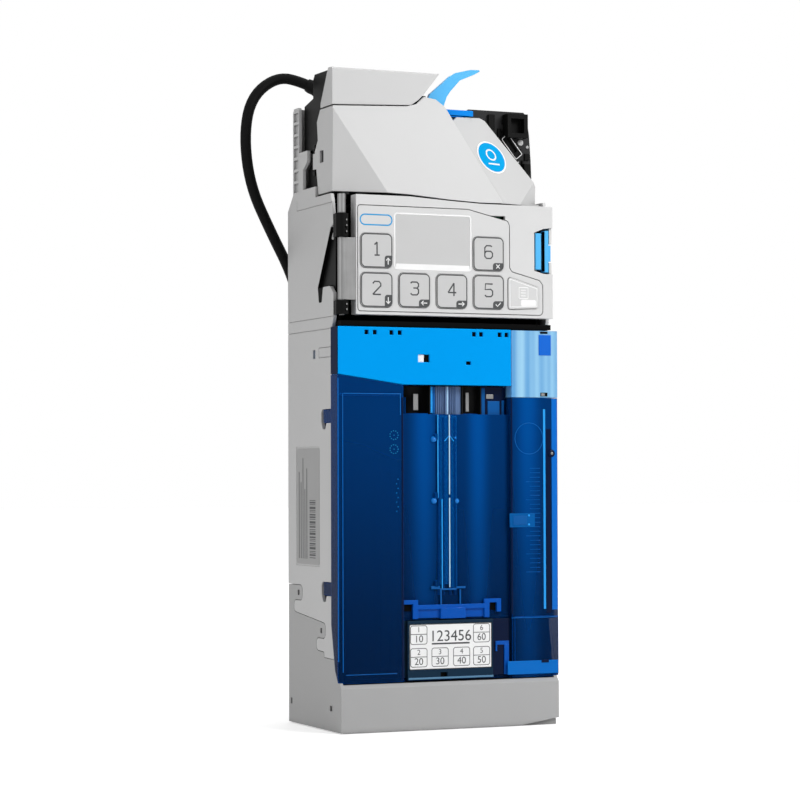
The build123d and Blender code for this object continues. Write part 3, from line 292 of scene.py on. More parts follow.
def clear_plastic(name, tint, alpha, rim, edge_highlight_share=0.85, gloss=0.03, roughness=0.22):
    """See-through tinted plastic with faint flow marks, its edges painted brighter as a highlight."""
    f = Finish(name)
    soft = f.soft_normal(0.0005)
    edges = f.edge_share(soft)
    flow = f.noise(6.0, 3.0, f.stretched(1.0, 1.0, 0.18))
    body = f.dim(tint(f) if callable(tint) else f.mix(flow, shade(tint, 0.85), shade(tint, 1.15)),
                 flow * 0.5 + 0.75)
    return f.surface(
        # Painted highlight: the edges take the edge blue.
        Base_Color=f.mix(edges * edge_highlight_share, body, rim),
        Roughness=roughness + flow * 0.08,
        Alpha=alpha + edges * (0.97 - alpha),
        Normal=f.bump(flow, 0.06, 0.0003, soft),
        Specular_IOR_Level=gloss,
    )


def brushed(name, base, along="z"):
    """Bright steel with fine lines along one axis, and painted shade in its gaps."""
    f = Finish(name)
    stretch = {"x": (60, 4000, 4000), "y": (4000, 60, 4000), "z": (4000, 4000, 60)}[along]
    lines = f.noise(1.0, 2.0, f.stretched(*stretch))
    stain = f.noise(90.0, 3.0)
    soft = f.soft_normal(0.0003)
    body = f.mix(stain, shade(base, 0.82), shade(base, 1.18))
    return f.surface(
        # Painted shade where the steel sits in gaps and corners.
        Base_Color=f.dim(body, f.painted_gap_shade(0.003) * (lines * 0.3 + 0.85)),
        Metallic=1.0,
        Roughness=0.26 + lines * 0.16 + stain * 0.08,
        Normal=f.bump(lines, 0.10, 0.00005, soft),
    )


def board_finish(name, base):
    """Solder mask with faint tracks and round pads."""
    f = Finish(name)
    cells = f.node("ShaderNodeTexVoronoi", {"distance": "MANHATTAN"}, Vector=f.place(), Scale=320.0)
    dots = f.node("ShaderNodeTexVoronoi", {}, Vector=f.place(), Scale=210.0)
    pads = dots["Distance"] < 0.16
    tracks = (cells["Distance"] > 0.42) * 0.8
    body = f.mix(tracks, base, shade(base, 2.1))
    return f.surface(
        Base_Color=f.mix(pads, body, (0.45, 0.42, 0.33)),
        Roughness=0.36 - pads * 0.12,
        Metallic=pads * 0.7,
        Normal=f.bump(tracks, 0.2, 0.00004),
        Specular_IOR_Level=0.3,
    )


def printed(name, base, roughness=0.55, gloss=0.2):
    """Ink or paper: flat, with a very fine tooth."""
    f = Finish(name)
    tooth = f.noise(5200.0, 2.0)
    cloud = f.noise(60.0, 2.0)
    return f.surface(
        Base_Color=f.mix(cloud, shade(base, 0.96), shade(base, 1.04)),
        Roughness=roughness + (tooth - 0.5) * 0.12,
        Normal=f.bump(tooth, 0.15, 0.00002),
        Specular_IOR_Level=gloss,
    )


def jacket(name, base):
    """Soft cord jacket, faintly ridged and dusty."""
    f = Finish(name)
    tooth = f.noise(2600.0, 3.0)
    dust = f.noise(120.0, 3.0)
    return f.surface(
        Base_Color=f.mix(dust, base, shade(base, 2.0)),
        Roughness=0.46 + tooth * 0.14 + dust * 0.08,
        Normal=f.bump(tooth, 0.25, 0.00006),
        Specular_IOR_Level=0.06,
    )


def winding(name, base):
    """Fine varnished wire, wound round the coil's axis."""
    f = Finish(name)
    lines = f.node("ShaderNodeTexWave", {"wave_type": "BANDS", "bands_direction": "Y"}, Vector=f.place(),
                   Scale=900.0, Distortion=0.4)["Fac"]
    return f.surface(
        Base_Color=f.mix(lines, shade(base, 0.55), shade(base, 1.15)),
        Metallic=0.8,
        Roughness=0.30 + lines * 0.12,
        Normal=f.bump(lines, 0.4, 0.00008),
    )


def screen_finish(name):
    """The unlit display: plain grey with a fine dot grid."""
    f = Finish(name)
    cloud = f.noise(30.0, 2.0)
    dots = f.node("ShaderNodeTexVoronoi", {"distance": "CHEBYCHEV", "feature": "F1"}, Vector=f.place(),
                  Scale=1500.0, Randomness=0.0)["Distance"]
    pale = f.mix(cloud, (0.56, 0.56, 0.56), (0.62, 0.62, 0.62))
    return f.surface(
        Base_Color=f.mix((dots > 0.44) * 0.04, pale, (0.30, 0.31, 0.31)),
        Roughness=0.24 + dots * 0.04,
        Normal=f.bump(dots, 0.04, 0.00002),
        Specular_IOR_Level=0.25,
    )


# ---------------------------------------------------------------- painted highlights and shade on the see-through plastic
def tube_highlight_share(f, *tubes):
    """Painted highlight: 1 along the line where a tube stands closest behind the plastic, 0 between the
    tubes.
    """
    x = f.axes()[0]
    total = None
    for tube in tubes:
        low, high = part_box(tube)
        middle, radius = (low.x + high.x) / 2, (high.x - low.x) / 2
        hump = f.spread(abs(x - middle), 0.0, radius * 0.8, 1.0, 0.0, smooth=True)
        total = hump if total is None else total + hump
    return total


def tube_highlights_and_shade(deep, lit, *tubes):
    """See-through plastic with painted highlights where tubes stand close behind it, and painted shade,
    darker towards the foot.
    """
    low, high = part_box("cassette_body")
    def tint(f):
        # Painted shade: darker towards the bottom.
        height = f.spread(f.axes()[2], low.z, high.z, 0.40, 1.10, smooth=True)
        return f.dim(f.mix(tube_highlight_share(f, *tubes) * 0.75, deep, lit), height)
    return tint


def flowing(deep, pale):
    """Upright flow marks between two shades."""
    def tint(f):
        return f.mix(f.spread(f.noise(1.0, 1.0, f.stretched(190.0, 30.0, 1.5)), 0.3, 0.7), deep, pale)
    return tint


def with_painted_side_shade(front, deep, node):
    """A bright front whose left return is painted dark as shade."""
    def tint(f):
        x = f.axes()[0]
        return f.mix(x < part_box(node)[0].x + 0.0003, front, deep)
    return tint


def setting_names(group):
    """The names of a property group's own settings."""
    return [key for key in group.bl_rna.properties.keys() if key not in ("rna_type", "name")]


FINISHES = {}


def finish_of(name):
    """A finish that has been made."""
    return FINISHES[name]


def make_finishes():
    """Every finish of the changer, by name."""
    c = bpy.context.scene.changer_colours
    pick = {key: tuple(getattr(c, key)) for key in setting_names(c)}
    deep, lit, rim = pick["clear"], pick["clear_lit"], pick["edge"]
    FINISHES.update({
        "housing": moulded("housing_plastic", pick["housing"], 0.46, 0.30, crease_shade=0.004, edge_wear_and_highlight=1.3,
                           edge=0.0005),
        "base": moulded("base_plastic", pick["base"], 0.46, 0.30, crease_shade=0.004, edge_wear_and_highlight=1.2),
        "door": moulded("door_plastic", pick["door"], 0.40, 0.22, crease_shade=0.003),
        "panel": moulded("panel_plastic", shade(pick["door"], 1.0), 0.34, 0.15, crease_shade=0.0015),
        "keys": moulded("key_plastic", pick["keys"], 0.38, 0.18, edge=0.0008, crease_shade=0.001),
        "menu": moulded("menu_key_plastic", shade(pick["door"], 0.97), 0.38, 0.18, edge=0.0008,
                        crease_shade=0.001),
        "black": moulded("black_plastic", pick["black"], 0.42, 0.40, gloss=0.06, edge_wear_and_highlight=2.5),
        "dark": moulded("dark_plastic", pick["dark"], 0.50, 0.40, gloss=0.08, edge_wear_and_highlight=1.8),
        "matt_black": moulded("matt_black", shade(pick["black"], 0.4), 0.60, 0.30, gloss=0.04, edge_wear_and_highlight=1.5),
        "legend": printed("legend_ink", pick["legend"], 0.48),
        # The lid's left side is painted dark as shade.
        "lid": moulded("lid_plastic", with_painted_side_shade(pick["lid"], shade(deep, 0.25), "cassette_cover"),
                       0.34, 0.10, gloss=0.02, edge_wear_and_highlight=1.5, edge=0.0009),
        "clear": clear_plastic("case_plastic", tube_highlights_and_shade(deep, lit, "coin_tube_5"), 0.84, rim),
        "middle": clear_plastic("middle_plastic", tube_highlights_and_shade(deep, lit, "coin_tube_3", "coin_tube_4"),
                                0.86, rim, 0.6),
        # The tubes take the lighter blue of the painted highlight all over, a lit copy of the deep blue.
        "tube": clear_plastic("tube_plastic", lit, 0.70, rim),
        "cap": clear_plastic("cap_plastic", flowing(shade(pick["cap"], 0.85), (0.42, 0.74, 0.95)),
                             0.93, rim, 0.7),
        "pane": moulded("pane_plastic", (0.005, 0.20, 0.68), 0.22, 0.08, gloss=0.25, edge_wear_and_highlight=1.8, edge=0.0006),
        # Painted highlight: a bright blue for real ribs, studs and the arrow, standing for the light they
        # catch.
        "glow": moulded("pale_blue_edge", (0.02, 0.36, 0.92), 0.24, 0.05, gloss=0.2, edge_wear_and_highlight=1.2),
        "faint": moulded("faint_blue_edge", (0.004, 0.10, 0.36), 0.30, 0.05, gloss=0.1, edge_wear_and_highlight=1.4),
        "bracket": moulded("bracket_plastic", pick["bracket"], 0.24, 0.10, gloss=0.10, edge_wear_and_highlight=1.7),
        "funnel": moulded("funnel_plastic", pick["funnel"], 0.24, 0.10, gloss=0.10, edge_wear_and_highlight=1.3),
        "lever": moulded("lever_plastic", pick["lever"], 0.28, 0.12, gloss=0.15, edge_wear_and_highlight=1.15),
        "navy": moulded("navy_plastic", (0.0, 0.006, 0.034), 0.22, 0.10, gloss=0.08, edge_wear_and_highlight=3.0),
        "teal": moulded("teal_plastic", pick["teal"], 0.32, 0.15, gloss=0.08, edge_wear_and_highlight=1.5),
        "badge": printed("badge_blue", pick["disc"], 0.30, 0.05),
        "white": printed("white_print", (0.93, 0.93, 0.93), 0.42),
        "card": printed("card_paper", pick["card"], 0.50),
        "blue_line": printed("blue_print", (0.03, 0.35, 0.72), 0.45),
        "steel": brushed("bright_steel", pick["steel"]),
        "board": board_finish("board_mask", pick["board"]),
        "copper": winding("copper_winding", pick["copper"]),
        "cord": jacket("cord_jacket", pick["cord"]),
        "screen": screen_finish("display_screen"),
        "pillar": moulded("pillar_plastic", (0.10, 0.17, 0.33), 0.22, 0.05, gloss=0.3, edge_wear_and_highlight=1.9,
                          edge=0.0003),
        "sleeve": moulded("sleeve_plastic", (0.004, 0.004, 0.004), 0.45, 0.3, gloss=0.12, edge_wear_and_highlight=1.5),
        # Painted highlight: pale lines standing for the light on the pillar and the rail.
        "light": printed("light_edge", (0.45, 0.72, 0.95), 0.35),
        "trace": moulded("blue_trace", (0.004, 0.13, 0.48), 0.30, 0.05, gloss=0.1, edge_wear_and_highlight=1.3),
        "mark": moulded("blue_mark", (0.01, 0.22, 0.50), 0.30, 0.05, gloss=0.1, edge_wear_and_highlight=1.3),
        "rail": clear_plastic("rail_plastic", (0.0, 0.10, 0.42), 0.45, (0.0, 0.16, 0.62), 0.5),
        "plate": clear_plastic("plate_plastic", (0.005, 0.15, 0.52), 0.65, (0.01, 0.22, 0.75), 0.5),
        "column_edge": moulded("column_edge_plastic", (0.002, 0.15, 0.62), 0.24, 0.05, gloss=0.12,
                               edge_wear_and_highlight=1.4),
        "strip": moulded("low_strip_plastic", (0.002, 0.15, 0.56), 0.24, 0.05, gloss=0.08, edge_wear_and_highlight=1.8),
        "foot_line": moulded("label_foot_plastic", (0.10, 0.24, 0.40), 0.30, 0.05, gloss=0.15, edge_wear_and_highlight=1.2),
        "cap_mark": moulded("cap_mark_plastic", (0.01, 0.14, 0.66), 0.30, 0.05, gloss=0.1, edge_wear_and_highlight=1.3),
        "label_sheet": printed("label_paper", (0.42, 0.42, 0.42), 0.55),
    })


NODE_FINISH = {
    "housing": ["chassis_shell", "acceptor_cover", "acceptor_side_panel", "acceptor_cap"],
    "base": ["base_cover", "base_foot"],
    "door": ["door_frame"],
    "panel": ["keypad_panel"],
    "keys": ["key_1", "key_2", "key_3", "key_4", "key_5", "key_6"],
    "menu": ["menu_key"],
    "black": ["hinge_knuckles", "release_lever", "acceptor_frame", "solenoids", "payout_motors",
              "board_connectors"],
    "matt_black": ["separator_body"],
    "dark": ["payout_deck", "acceptor_plate"],
    "lid": ["cassette_cover", "accept_gate", "sorter_gate_1", "sorter_gate_2", "payout_cam_1",
            "payout_cam_2", "payout_cam_3"],
    "clear": ["cassette_body"],
    "middle": ["middle_panel"],
    "tube": ["coin_tube_1", "coin_tube_2", "coin_tube_3", "coin_tube_4", "coin_tube_5", "coin_tube_6",
             "flight_deck"],
    "cap": ["cassette_end_cap"],
    "bracket": ["cassette_latch"],
    "funnel": ["coin_funnel"],
    "lever": ["return_lever", "door_latch"],
    "teal": ["label_holder"],
    "card": ["label_card"],
    "steel": ["hinge_pin", "hinge_leaf", "foot_screws", "deck_pin"],
    "board": ["main_board", "acceptor_board", "door_electronics"],
    "copper": ["sensor_coils"],
    "cord": ["cable", "cable_coil", "cable_gland", "cable_connector"],
    "screen": ["display_lens"],
}


# ---------------------------------------------------------------- making pieces
def mm(*values):
    """A point given in millimetres."""
    return Vector(values) / 1000.0


def add_piece(name, data, body, finish, matrix=None):
    """An object with its finish, riding on a body."""
    piece = bpy.data.objects.new(name, data)
    bpy.context.scene.collection.objects.link(piece)
    if matrix is not None:
        piece.matrix_world = matrix
    piece.data.materials.append(finish_of(finish))
    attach(piece, body)
    return piece


def facing(origin, across, up):
    """A plane's matrix: local X across, local Y up, local Z out of the surface."""
    x = Vector(across).normalized()
    z = x.cross(Vector(up)).normalized()
    y = z.cross(x)
    matrix = Matrix.Identity(4)
    for column, axis in enumerate((x, y, z)):
        for row in range(3):
            matrix[row][column] = axis[row]
    matrix.translation = Vector(origin)
    return matrix


def on_front(x, y, z):
    """A plane that faces the front, at a point in millimetres."""
    return facing(mm(x, y, z), (1, 0, 0), (0, 0, 1))


def rounded(x0, x1, y0, y1, r, steps=5):
    """The corner points of a rounded rectangle, in millimetres."""
    points = []
    left, right, low, high = x0 + r, x1 - r, y0 + r, y1 - r
    for cx, cy, start in ((right, high, 0), (left, high, 90), (left, low, 180), (right, low, 270)):
        for k in range(steps + 1):
            a = math.radians(start + 90 * k / steps)
            points.append((cx + r * math.cos(a), cy + r * math.sin(a)))
    return points


def corner_tag(x0, x1, y0, y1, r, steps=5):
    """A tag for a lower right corner: only its upper left and lower right corners are round."""
    points = [(x1, y1)]
    for cx, cy, start, radius in ((x0 + r * 0.7, y1 - r * 0.7, 90, r * 0.7), (x1 - r, y0 + r, 270, r)):
        arc = [math.radians(start + 90 * k / steps) for k in range(steps + 1)]
        points += [(cx + radius * math.cos(a), cy + radius * math.sin(a)) for a in arc]
        if start == 90:
            points.append((x0, y0))
    return points


def circle(cx, cy, r, steps=40):
    """Points on a circle, in millimetres."""
    return [(cx + r * math.cos(2 * math.pi * k / steps), cy + r * math.sin(2 * math.pi * k / steps))
            for k in range(steps)]


def line_art(name, strokes, width, body, finish, matrix, height=0.00006):
    """Printed lines: each stroke is a list of points in millimetres, and whether it closes."""
    data = bpy.data.curves.new(name, "CURVE")
    data.dimensions = "3D"
    data.bevel_depth = width / 2
    data.bevel_resolution = 1
    data.use_fill_caps = True
    for points, closed in strokes:
        spline = data.splines.new("POLY")
        spline.points.add(len(points) - 1)
        for point, (x, y) in zip(spline.points, points):
            point.co = (x / 1000, y / 1000, 0, 1)
        spline.use_cyclic_u = closed
    flat = Matrix.Diagonal((1, 1, height * 2 / width, 1))
    shaper = bpy.data.objects.new(name + "_line", data)
    bpy.context.scene.collection.objects.link(shaper)
    bpy.context.view_layer.update()
    mesh = bpy.data.meshes.new_from_object(shaper.evaluated_get(bpy.context.evaluated_depsgraph_get()))
    bpy.data.objects.remove(shaper)
    mesh.transform(flat)
    return add_piece(name, mesh, body, finish, matrix)


def slabs_mesh(name, outlines, bottom, top, bevel=0.0):
    """A mesh of flat slabs, each over its own outline in millimetres."""
    bm = bmesh.new()
    for points in outlines:
        lower = [bm.verts.new((x / 1000, y / 1000, bottom / 1000)) for x, y in points]
        face = bm.faces.new(lower)
        if face.normal.z > 0:
            face.normal_flip()
        raised = bmesh.ops.extrude_face_region(bm, geom=[face], use_keep_orig=True)
        verts = [v for v in raised["geom"] if isinstance(v, bmesh.types.BMVert)]
        bmesh.ops.translate(bm, verts=verts, vec=(0, 0, (top - bottom) / 1000))
    bmesh.ops.recalc_face_normals(bm, faces=bm.faces)
    if bevel > 0:
        edges = [e for e in bm.edges if all(v.co.z * 1000 > top - 1e-4 for v in e.verts)]
        bmesh.ops.bevel(bm, geom=edges, offset=bevel / 1000, segments=2, affect="EDGES", profile=0.6)
    mesh = bpy.data.meshes.new(name)
    bm.to_mesh(mesh)
    bm.free()
    return mesh


def slabs(name, outlines, bottom, top, body, finish, matrix, bevel=0.0):
    """Flat slabs on a surface, as one piece."""
    return add_piece(name, slabs_mesh(name, outlines, bottom, top, bevel), body, finish, matrix)


def bars(name, node, boxes, back, height, finish, bevel=0.0, body="cassette"):
    """Flat bars on a node's front: (x0, x1, z0, z1) in millimetres from its lower left front corner."""
    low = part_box(node)[0] * 1000
    outlines = [[(x0, z0), (x1, z0), (x1, z1), (x0, z1)] for x0, x1, z0, z1 in boxes]
    plane = on_front(low.x, low.y + back, low.z)
    return slabs(name, outlines, 0.0, height, body, finish, plane, bevel)


def on_node(node, x, back, z):
    """A front-facing plane at a place measured from a node's lower left front corner."""
    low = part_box(node)[0] * 1000
    return on_front(low.x + x, low.y + back, low.z + z)


def figures(name, text, size, centre, body, finish, matrix, spread=1.0):
    """Plain figures, centred on a point in millimetres."""
    data = bpy.data.curves.new(name, "FONT")
    data.body = text
    data.size = size / 1000
    data.align_x = "CENTER"
    data.align_y = "CENTER"
    data.space_character = spread
    data.extrude = 0.00004
    return add_piece(name, data, body, finish, matrix @ Matrix.Translation(mm(*centre, 0)))


def turned(name, profile, steps, body, finish, matrix):
    """A round piece: a profile of (radius, height) in millimetres turned about local Z."""
    bm = bmesh.new()
    rings = []
    for r, h in profile:
        if r <= 0:
            rings.append([bm.verts.new((0, 0, h / 1000))] * steps)
        else:
            rings.append([bm.verts.new((r / 1000 * math.cos(2 * math.pi * k / steps),
                                        r / 1000 * math.sin(2 * math.pi * k / steps), h / 1000))
                          for k in range(steps)])
    for low, high in zip(rings, rings[1:]):
        for k in range(steps):
            corners = [low[k], low[(k + 1) % steps], high[(k + 1) % steps], high[k]]
            unique = list(dict.fromkeys(corners))
            if len(unique) > 2:
                bm.faces.new(unique)
    bmesh.ops.recalc_face_normals(bm, faces=bm.faces)
    mesh = bpy.data.meshes.new(name)
    bm.to_mesh(mesh)
    bm.free()
    mesh.shade_smooth()
    return add_piece(name, mesh, body, finish, matrix)


# ---------------------------------------------------------------- operators
class ChangerOperator(bpy.types.Operator):
    """Shared settings of the changer's operators."""

    bl_options = {"REGISTER", "UNDO"}

    def execute(self, context):
        self.make(context.scene.changer_sizes)
        return {"FINISHED"}


# where the camera stands, in metres, and how it is turned
VIEW_PLACE = (-0.6014, -1.3368, 0.1444)
VIEW_TURN = math.radians(23.72)
VIEW_RISE = math.radians(1.70)
VIEW_ROLL = math.radians(-0.17)
VIEW_LENS = 113.0


class CHANGER_OT_stage(ChangerOperator):
    """Set up the floor, the lights, the world and the camera"""

    bl_idname = "changer.stage"
    bl_label = "Stage"

    def make(self, sizes):
        scene = bpy.context.scene
        scene.view_settings.view_transform = "Standard"
        self.camera(scene)
        self.world(scene)
        self.floor(scene)
        self.lights(scene)

    def camera(self, scene):
        data = bpy.data.cameras.new("camera")
        data.sensor_width = 36.0
        data.lens = VIEW_LENS
        data.clip_end = 50.0
        camera = bpy.data.objects.new("camera", data)
        scene.collection.objects.link(camera)
        level = math.cos(VIEW_RISE)
        forward = Vector((math.sin(VIEW_TURN) * level, math.cos(VIEW_TURN) * level, math.sin(VIEW_RISE)))
        right = forward.cross(Vector((0, 0, 1))).normalized()
        up = right.cross(forward)
        across = right * math.cos(VIEW_ROLL) + up * math.sin(VIEW_ROLL)
        rolled_up = up * math.cos(VIEW_ROLL) - right * math.sin(VIEW_ROLL)
        camera.matrix_world = facing(VIEW_PLACE, across, rolled_up)
        scene.camera = camera

    def world(self, scene):
        world = bpy.data.worlds.new("studio")
        scene.world = world
        world.use_nodes = True
        tree = world.node_tree
        back = tree.nodes["Background"]
        paths = tree.nodes.new("ShaderNodeLightPath")
        seen = tree.nodes.new("ShaderNodeMath")
        seen.operation = "MAXIMUM"
        tree.links.new(paths.outputs["Is Camera Ray"], seen.inputs[0])
        tree.links.new(paths.outputs["Is Transmission Ray"], seen.inputs[1])
        both = tree.nodes.new("ShaderNodeMath")
        both.operation = "MAXIMUM"
        tree.links.new(seen.outputs[0], both.inputs[0])
        tree.links.new(paths.outputs["Is Glossy Ray"], both.inputs[1])
        level = tree.nodes.new("ShaderNodeMapRange")
        level.inputs["To Min"].default_value = 0.26
        level.inputs["To Max"].default_value = 1.0
        tree.links.new(both.outputs[0], level.inputs["Value"])
        back.inputs["Color"].default_value = (1, 1, 1, 1)
        tree.links.new(level.outputs[0], back.inputs["Strength"])

    def floor(self, scene):
        f = Finish("floor_white")
        cloud = f.noise(3.0, 2.0)
        f.surface(Base_Color=f.mix(cloud, (0.80, 0.80, 0.80), (0.82, 0.82, 0.82)), Roughness=0.75)
        paths = f.node("ShaderNodeLightPath")
        seen = paths["Is Camera Ray"] + paths["Is Glossy Ray"] + paths["Is Transmission Ray"]
        x, y, _ = f.axes()
        away = f.spread((x * x + y * y) ** 0.5, 0.25, 1.2, 0.50, 0.80, smooth=True)
        glow = f.node("ShaderNodeEmission", {}, Color=(1, 1, 1), Strength=seen * away)["Emission"]
        both = f.node("ShaderNodeAddShader", {}, f.shader["BSDF"], glow)[0]
        f.feed(f.end.node.inputs["Surface"], both)
        bm = bmesh.new()
        bmesh.ops.create_grid(bm, x_segments=2, y_segments=2, size=9.0)
        mesh = bpy.data.meshes.new("floor")
        bm.to_mesh(mesh)
        bm.free()
        floor = bpy.data.objects.new("floor", mesh)
        floor.location = (0, 0, -0.0002)
        scene.collection.objects.link(floor)
        mesh.materials.append(f.material)

    def lights(self, scene):
        for name, place, size, power in (
            ("key_light", (0.52, -0.86, 0.88), 0.50, 9.4),
            ("fill_light", (-1.3, -0.55, 0.75), 0.9, 5.2),
            ("top_light", (0.1, 0.1, 1.6), 0.9, 4.6),
            ("back_light", (0.9, 1.3, 0.9), 0.9, 6.0),
        ):
            data = bpy.data.lights.new(name, "AREA")
            data.shape = "SQUARE"
            data.size = size
            data.energy = power
            lamp = bpy.data.objects.new(name, data)
            lamp.location = place
            toward = Vector((0, 0, 0.2)) - Vector(place)
            lamp.rotation_euler = toward.to_track_quat("-Z", "Y").to_euler()
            scene.collection.objects.link(lamp)


class CHANGER_OT_finishes(ChangerOperator):
    """Give every part of the frame its finish"""

    bl_idname = "changer.finishes"
    bl_label = "Finishes"

    def make(self, sizes):
        make_finishes()
        done = set()
        for finish, names in NODE_FINISH.items():
            for name in names:
                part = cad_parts[name]
                done.add(name)
                for slot in part.material_slots:
                    slot.material = finish_of(finish)
        missing = set(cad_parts) - done
        if missing:
            raise RuntimeError(f"parts with no finish: {sorted(missing)}")


# the cord's route, in millimetres, down to the coil
CORD_ROUTE = [
    (-53.0, 11.6, 367.0),
    (-53.0, 20.6, 367.0),
    (-62.0, 29.6, 374.4),
    (-77.0, 33.6, 378.0),
    (-93.5, 33.6, 365.0),
    (-98.0, 33.6, 342.0),
    (-93.5, 35.6, 313.0),
    (-78.5, 42.4, 288.0),
    (-60.5, 50.4, 261.0),
    (-50.0, 54.6, 227.0),
    (-48.0, 58.6, 187.0),
    (-45.0, 60.6, 143.0),
    (-45.0, 62.6, 101.0),
    (-43.0, 64.6, 61.0),
    (-41.0, 68.6, 31.0),
    (-35.0, 78.6, 13.0),
    (-26.0, 92.0, 7.2),
]
COIL_CENTRE = (22.0, 96.0)
COIL_R = 36.0


def coil_points(turns):
    """The coil's turns, in millimetres: two rings below and two above, side by side."""
    points = []
    per_turn = 14
    rings = [(COIL_R + 3.3, 3.4), (COIL_R - 3.3, 3.4), (COIL_R - 3.3, 9.9), (COIL_R + 3.3, 9.9)]
    start = math.radians(186.0)
    for turn in range(turns):
        r, z = rings[turn % 4]
        next_r, next_z = rings[(turn + 1) % 4]
        for k in range(per_turn):
            share = max(0.0, (k - per_turn + 3) / 3)
            a = start - 2 * math.pi * k / per_turn
            radius = r + (next_r - r) * share
            points.append((COIL_CENTRE[0] + radius * math.cos(a), COIL_CENTRE[1] + radius * math.sin(a),
                           z + (next_z - z) * share))
    return points


class CHANGER_OT_cord(ChangerOperator):
    """Lay the cord from the frame down to its coil and plug"""

    bl_idname = "changer.cord"
    bl_label = "Cord"

    def make(self, sizes):
        tail = [(62.0, 118.0, 6.6), (61.6, 112.0, 5.0), (64.0, 108.0, 4.6), (66.0, 108.0, 4.5)]
        points = CORD_ROUTE + coil_points(sizes.coil_turns) + tail
        data = bpy.data.curves.new("cord", "CURVE")
        data.dimensions = "3D"
        data.bevel_depth = sizes.cord_d / 2
        data.bevel_resolution = 4
        data.resolution_u = 6
        spline = data.splines.new("NURBS")
        spline.points.add(len(points) - 1)
        for point, place in zip(spline.points, points):
            point.co = (*mm(*place), 1)
        spline.order_u = 3
        spline.use_endpoint_u = True
        cord = add_piece("cord", data, "chassis", "cord")
        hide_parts("cable", "cable_coil")
        relief = self.relief(data)

    def relief(self, data):
        """The tapered, ribbed sleeve that follows the cord's first length."""
        bare = data.copy()
        bare.bevel_depth = 0
        carrier = bpy.data.objects.new("route", bare)
        bpy.context.scene.collection.objects.link(carrier)
        bpy.context.view_layer.update()
        line = bpy.data.meshes.new_from_object(carrier.evaluated_get(bpy.context.evaluated_depsgraph_get()))
        along = [v.co.copy() for v in line.vertices]
        bpy.data.objects.remove(carrier)
        run = 0.0
        rings = []
        for a, b in zip(along, along[1:]):
            if run > 0.022:
                break
            rings.append((a, (b - a).normalized(), run))
            run += (b - a).length
        bm = bmesh.new()
        sides = 20
        loops = []
        for place, ahead, done in rings:
            side = ahead.cross(Vector((0, 0, 1))).normalized()
            top = side.cross(ahead)
            radius = 0.0046 - 0.0009 * done / run + (0.00025 if len(loops) % 2 else 0)
            loops.append([bm.verts.new(place + (side * math.cos(2 * math.pi * k / sides)
                                                + top * math.sin(2 * math.pi * k / sides)) * radius)
                          for k in range(sides)])
        for low, high in zip(loops, loops[1:]):
            for k in range(sides):
                bm.faces.new([low[k], low[(k + 1) % sides], high[(k + 1) % sides], high[k]])
        bm.faces.new(loops[0])
        bm.faces.new(loops[-1])
        bmesh.ops.recalc_face_normals(bm, faces=bm.faces)
        mesh = bpy.data.meshes.new("cord_relief")
        bm.to_mesh(mesh)
        bm.free()
        mesh.shade_smooth()
        return add_piece("cord_relief", mesh, "chassis", "cord")


KEY_RISE = 0.7
KEY_LINE_HALF = 9.3
KEY_LINE_R = 2.6
FIGURE_SCALE = 1.22
TAG_INSET = 9.2
# strokes of the figures 1 to 6 on a grid 4 wide and 6 high
FIGURE_STROKES = {
    1: [[(0.9, 4.8), (2.2, 6)], [(2.2, 6), (2.2, 0)], [(0.9, 0), (3.5, 0)]],
    2: [[(0, 5.0), (0.9, 6), (3.1, 6), (4, 5.1), (4, 4.0), (0, 0)], [(0, 0), (4, 0)]],
    3: [[(0, 5.4), (0.7, 6), (3.2, 6), (4, 5.2), (4, 4.0), (3.2, 3.2), (1.4, 3.2)],
        [(3.2, 3.2), (4, 2.4), (4, 0.9), (3.2, 0), (0.8, 0), (0, 0.7)]],
    4: [[(3.0, 0), (3.0, 6)], [(3.0, 6), (0, 1.6)], [(0, 1.6), (4.2, 1.6)]],
    5: [[(4, 6), (0.3, 6), (0.1, 3.3), (3.0, 3.5), (4, 2.6), (4, 0.9), (3.1, 0), (0.8, 0), (0, 0.7)]],
    6: [[(3.7, 5.6), (3.1, 6), (0.9, 6), (0, 5.0), (0, 1.0), (0.9, 0), (3.1, 0), (4, 1.0), (4, 2.5),
         (3.1, 3.4), (0.9, 3.4), (0, 2.6)]],
}


